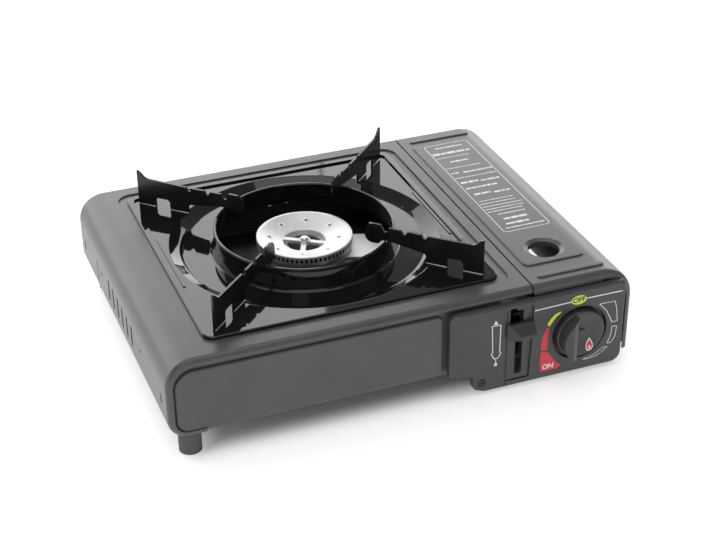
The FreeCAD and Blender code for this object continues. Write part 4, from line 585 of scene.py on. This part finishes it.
TO_LEFT = Vector((-1, 0, 0))
TO_FRONT = Vector((0, -1, 0))
# Sizes of the screws and the cap, in millimetres
SIDE_SCREW_Z = 46.5
SIDE_SCREW_RADIUS = 1.55
SIDE_SCREW_HEIGHT = 0.6
SIDE_SCREW_RECESS = (0.25, 0.95, 0.35)
SIDE_SCREW_SUNK = 0.1
EAR_SCREW_RADIUS = 2.7
EAR_SCREW_HEIGHT = 0.5
EAR_SCREW_RECESS = (0.4, 1.7, 0.4)
EAR_SCREW_LIFT = 0.02
DIAL_X = 127.7
DIAL_Z = 35.5
KNOB_DISH_Y = -134.25
KNOB_CAP_RADIUS = 4.0
KNOB_CAP_HEIGHT = 1.5
KNOB_CAP_CROWN = 14


def side_screws():
    """The two dark screws whose ends fill the holes in the left wall, just under its face."""
    for name, along in (("side_screw_front", -57), ("side_screw_back", 56)):
        place = at(SHELL_LOW[0] / MM + SIDE_SCREW_HEIGHT + SIDE_SCREW_SUNK, along, SIDE_SCREW_Z)
        screw = polar_dome(name, SIDE_SCREW_RADIUS, SIDE_SCREW_HEIGHT, 20, 64, SIDE_SCREW_RECESS)
        put(screw, place, TO_LEFT, BLACKED_STEEL, "stove_frame")


def knob_cap():
    """A moulded cap over the end of the stem, in the middle of the knob's dish."""
    cap = polar_dome("knob_cap", KNOB_CAP_RADIUS, KNOB_CAP_HEIGHT, 40, 64, crown=KNOB_CAP_CROWN)
    put(cap, at(DIAL_X, KNOB_DISH_Y, DIAL_Z), TO_FRONT, FINISH["knob_plastic"], "knob")


def ear_screw_head():
    """The dark cross-recessed head in the ear of the control panel."""
    low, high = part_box("panel_screw")
    middle = (low + high) / 2
    place = Vector((middle.x, low.y - EAR_SCREW_LIFT * MM, middle.z))
    head = polar_dome("ear_screw_head", EAR_SCREW_RADIUS, EAR_SCREW_HEIGHT, 24, 72, EAR_SCREW_RECESS)
    put(head, place, TO_FRONT, BLACKED_STEEL, "stove_frame")


TUBE_SIDES = 14
# The rounded end of a tube, as shares of its radius: along it and out from its axis
TUBE_END = ((0, 0), (0.3, 0.8), (1, 1))


def tube(name, start, end, radius, material, body):
    """A straight bead with rounded ends."""
    way = end - start
    profile = [(radius * t, radius * r) for t, r in TUBE_END]
    profile += [(way.length - radius * t, radius * r) for t, r in reversed(TUBE_END)]
    turns = [2 * math.pi * k / TUBE_SIDES for k in range(TUBE_SIDES)]
    bm = bmesh.new()
    rings = []
    for along, wide in profile:
        rings.append([bm.verts.new((wide * math.cos(turn), wide * math.sin(turn), along))
                      for turn in (turns if wide else turns[:1])])
    for first, second in zip(rings, rings[1:]):
        for k in range(TUBE_SIDES):
            after = (k + 1) % TUBE_SIDES
            corners = [first[k % len(first)], first[after % len(first)],
                       second[after % len(second)], second[k % len(second)]]
            bm.faces.new(list(dict.fromkeys(corners))).smooth = True
    bm.normal_update()
    put(made_from(bm, name), start, way.normalized(), material, body)


HEAD_HOLES = 8
# Radius of the ring of holes, as a share of the head's
HEAD_HOLE_RING = 0.72
# A rim's section in millimetres: out from the middle of its hole, and up from the head
HOLE_RIM = ((0.8, 0.02), (1.15, 0.05), (1.3, 0.25), (1.7, 0.32), (2.1, 0.2), (2.5, -0.05))
HOLE_RIM_SIDES = 24


def head_hole_rims():
    """Raised rims cast round the eight small holes in the burner head, their innermost band dark as painted
    shade that widens each hole.
    """
    surface = tree_of("burner_head")
    low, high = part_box("burner_head")
    centre = (low + high) / 2
    ring = HEAD_HOLE_RING * (high.x - low.x) / 2
    for index in range(HEAD_HOLES):
        turn = math.radians(360 / HEAD_HOLES * (index + 0.5))
        hole = Vector((centre.x + ring * math.cos(turn), centre.y + ring * math.sin(turn), high.z))
        bm = bmesh.new()
        circles = []
        for radius, lift in HOLE_RIM:
            circle = []
            for sector in range(HOLE_RIM_SIDES):
                angle = 2 * math.pi * sector / HOLE_RIM_SIDES
                above = hole + Vector((math.cos(angle), math.sin(angle), 0)) * radius * MM
                hit = surface.ray_cast(above + Vector((0, 0, MM)), DOWN)[0]
                circle.append(bm.verts.new(hit + Vector((0, 0, lift * MM))))
            circles.append(circle)
        for band, (inner, outer) in enumerate(zip(circles, circles[1:])):
            for sector in range(HOLE_RIM_SIDES):
                after = (sector + 1) % HOLE_RIM_SIDES
                face = bm.faces.new((inner[sector], outer[sector], outer[after], inner[after]))
                face.smooth = True
                # The innermost band takes the dark steel: painted shade round the hole
                face.material_index = 1 if band == 0 else 0
        bm.normal_update()
        rim = made_from(bm, "head_hole_rim_%d" % index)
        rim.data.materials.append(FINISH["bright_aluminium"])
        rim.data.materials.append(BLACKED_STEEL)
        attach(rim, "stove_frame")


# The lid's hem in millimetres: its two ends, its place behind the panel's edge and its radius
HEM_LEFT, HEM_RIGHT = 93.6, 147.0
HEM_Y, HEM_Z = -126.9, 71.0
HEM_RADIUS = 0.7


def lid_hem():
    """The rolled lower edge of the lid's front, above the control panel."""
    start, end = at(HEM_LEFT, HEM_Y, HEM_Z), at(HEM_RIGHT, HEM_Y, HEM_Z)
    tube("lid_hem", start, end, HEM_RADIUS * MM, FINISH["lid_paint"], "lid")


# The weld beads in millimetres: radius, place beside the support's middle, and height over its foot
BEAD_RADIUS = 0.45
BEAD_ASIDE = 0.9
BEAD_LIFT = 0.3
# Faces this near to the lowest point of a support belong to its feet, and spans this near are one foot
FOOT_BAND = 0.8
FOOT_GAP = 0.5


def support_beads():
    """Weld beads along both sides of each pan support, where its feet meet the tray."""
    tray_low, tray_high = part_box("drip_tray")
    centre = (tray_low + tray_high) / 2
    for name in ("back_right", "back_left", "front_left", "front_right"):
        node_name = "pan_support_" + name
        mesh = NODES[node_name].data
        low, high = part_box(node_name)
        out = (low + high) / 2 - centre
        out = Vector((math.copysign(1, out.x), math.copysign(1, out.y), 0)).normalized()
        side = Vector((-out.y, out.x, 0))
        spans = []
        for face in mesh.polygons:
            if face.normal.z > -0.9 or face.center.z > low.z + FOOT_BAND * MM:
                continue
            reach = [(mesh.vertices[v].co - centre).dot(out) for v in face.vertices]
            spans.append([min(reach), max(reach), face.center.z])
        spans.sort()
        joined = []
        for span in spans:
            if joined and span[0] < joined[-1][1] + FOOT_GAP * MM:
                joined[-1][1] = max(joined[-1][1], span[1])
            else:
                joined.append(span)
        for index, (start, end, level) in enumerate(joined):
            for hand, sign in (("a", 1), ("b", -1)):
                base = Vector((centre.x, centre.y, level + BEAD_LIFT * MM)) + side * sign * BEAD_ASIDE * MM
                tube("support_bead_%s_%d_%s" % (name, index, hand), base + out * start, base + out * end,
                     BEAD_RADIUS * MM, FINISH["steel"], "tray")


dial_prints()
lever_prints()
knob_prints()
lid_prints()
side_screws()
ear_screw_head()
knob_cap()
lid_hem()
head_hole_rims()
support_beads()


# Studio

FLOOR_HALF = 12.0
FLOOR_GLOW = 0.52
# Half the size of the painted shadow under the object in metres, and where its soft edge starts and ends
FLOOR_SHADE = (0.158, 0.122)
SHADE_EDGE = (0.8, 1.05)
WORLD_GLOW = 0.30


def glow_with_painted_shadow(tree):
    """The floor's own glow, as of a lit table, which stops under the object to leave a painted shadow there.
    """
    parts = node(tree, "ShaderNodeSeparateXYZ")
    tree.links.new(coordinates(tree), parts.inputs["Vector"])
    shares = []
    for axis, reach in zip("XY", FLOOR_SHADE):
        size = node(tree, "ShaderNodeMath", operation="ABSOLUTE")
        tree.links.new(parts.outputs[axis], size.inputs[0])
        share = node(tree, "ShaderNodeMath", operation="DIVIDE")
        share.inputs[1].default_value = reach
        tree.links.new(size.outputs[0], share.inputs[0])
        shares.append(share)
    most = node(tree, "ShaderNodeMath", operation="MAXIMUM")
    tree.links.new(shares[0].outputs[0], most.inputs[0])
    tree.links.new(shares[1].outputs[0], most.inputs[1])
    glow = node(tree, "ShaderNodeMapRange", interpolation_type="SMOOTHSTEP")
    glow.inputs["From Min"].default_value = SHADE_EDGE[0]
    glow.inputs["From Max"].default_value = SHADE_EDGE[1]
    glow.inputs["To Max"].default_value = FLOOR_GLOW
    tree.links.new(most.outputs[0], glow.inputs["Value"])
    return glow.outputs["Result"]


def stage_floor():
    """A white floor with a glow of its own, and a painted shadow under the object."""
    bm = bmesh.new()
    corners = ((-1, -1), (1, -1), (1, 1), (-1, 1))
    bm.faces.new([bm.verts.new((x * FLOOR_HALF, y * FLOOR_HALF, 0)) for x, y in corners])
    floor = made_from(bm, "studio_floor")
    made, tree, shader = new_material("StudioFloor")
    cloud = noise(tree, coordinates(tree), 2.0, 2)
    tree.links.new(ramp(tree, cloud, (0.80, 0.80, 0.80), (0.83, 0.83, 0.83)), shader.inputs["Base Color"])
    shader.inputs["Roughness"].default_value = 0.85
    shader.inputs["Emission Color"].default_value = (1, 1, 1, 1)
    tree.links.new(glow_with_painted_shadow(tree), shader.inputs["Emission Strength"])
    floor.data.materials.append(made)


def soft_light(name, place, target, size, brightness):
    """A soft panel that looks as bright as stated, where a white sheet in full light is 1."""
    data = bpy.data.lights.new(name, "AREA")
    data.shape = "RECTANGLE"
    data.size, data.size_y = size
    data.energy = math.pi * size[0] * size[1] * brightness
    light = bpy.data.objects.new(name, data)
    bpy.context.scene.collection.objects.link(light)
    way = Vector(target) - Vector(place)
    light.rotation_euler = way.to_track_quat("-Z", "Y").to_euler()
    light.location = place
    light.visible_camera = False


def studio():
    """Soft panels of light, a grey room for reflections and a white backdrop past the floor's edge."""
    world = bpy.data.worlds.new("Studio")
    world.use_nodes = True
    tree = world.node_tree
    tree.nodes["Background"].inputs["Strength"].default_value = WORLD_GLOW
    tree.nodes["Background"].inputs["Color"].default_value = (1, 1, 1, 1)
    backdrop = node(tree, "ShaderNodeBackground")
    backdrop.inputs["Color"].default_value = (1, 1, 1, 1)
    seen = node(tree, "ShaderNodeLightPath")
    mixed = node(tree, "ShaderNodeMixShader")
    tree.links.new(seen.outputs["Is Camera Ray"], mixed.inputs[0])
    tree.links.new(tree.nodes["Background"].outputs[0], mixed.inputs[1])
    tree.links.new(backdrop.outputs[0], mixed.inputs[2])
    tree.links.new(mixed.outputs[0], tree.nodes["World Output"].inputs["Surface"])
    bpy.context.scene.world = world
    bpy.context.scene.view_settings.view_transform = "Standard"
    soft_light("top_softbox", (-0.2, -0.1, 1.7), (0, 0, 0.05), (1.5, 1.5), 1.5)
    soft_light("back_left_panel", (-0.52, 2.24, 1.05), (0, 0, 1.05), (2.87, 1.8), 2.8)
    soft_light("back_right_panel", (1.54, 1.71, 0.785), (0, 0, 0.785), (1.95, 1.27), 2.8)
    soft_light("left_panel", (-2.3, 0.9, 0.55), (0, 0, 0.1), (2.2, 0.8), 1.6)
    soft_light("front_panel_light", (-0.6, -2.0, 0.9), (0, 0, 0.1), (1.6, 1.0), 1.2)


# The photograph's camera: angles in degrees, lengths in pixels of its width, and metres
PHOTO_WIDTH = 713
AZIMUTH, ELEVATION, ROLL = -20.225, 32.033, -0.984
FOCAL_PIXELS = 1579.66
SHIFT_PIXELS = (11.57, 48.27)
SENSOR = 36.0
DISTANCE = 1.2046
AIM = at(0, 0, 2)


def photo_camera():
    """A camera at the photograph's viewing angle."""
    azimuth, elevation, roll = (math.radians(angle) for angle in (AZIMUTH, ELEVATION, ROLL))
    back = Vector((math.sin(azimuth) * math.cos(elevation), -math.cos(azimuth) * math.cos(elevation),
                   math.sin(elevation)))
    right = Vector((math.cos(azimuth), math.sin(azimuth), 0))
    up = back.cross(right)
    across = right * math.cos(roll) + up * math.sin(roll)
    upward = -right * math.sin(roll) + up * math.cos(roll)
    data = bpy.data.cameras.new("photo_camera")
    data.sensor_width = SENSOR
    data.lens = FOCAL_PIXELS / PHOTO_WIDTH * SENSOR
    data.shift_x, data.shift_y = (pixels / PHOTO_WIDTH for pixels in SHIFT_PIXELS)
    data.clip_end = 20.0
    camera = bpy.data.objects.new("photo_camera", data)
    bpy.context.scene.collection.objects.link(camera)
    place = back * DISTANCE + AIM
    camera.matrix_world = Matrix((
        (across.x, upward.x, back.x, place.x),
        (across.y, upward.y, back.y, place.y),
        (across.z, upward.z, back.z, place.z),
        (0, 0, 0, 1),
    ))
    bpy.context.scene.camera = camera


stage_floor()
studio()
photo_camera()
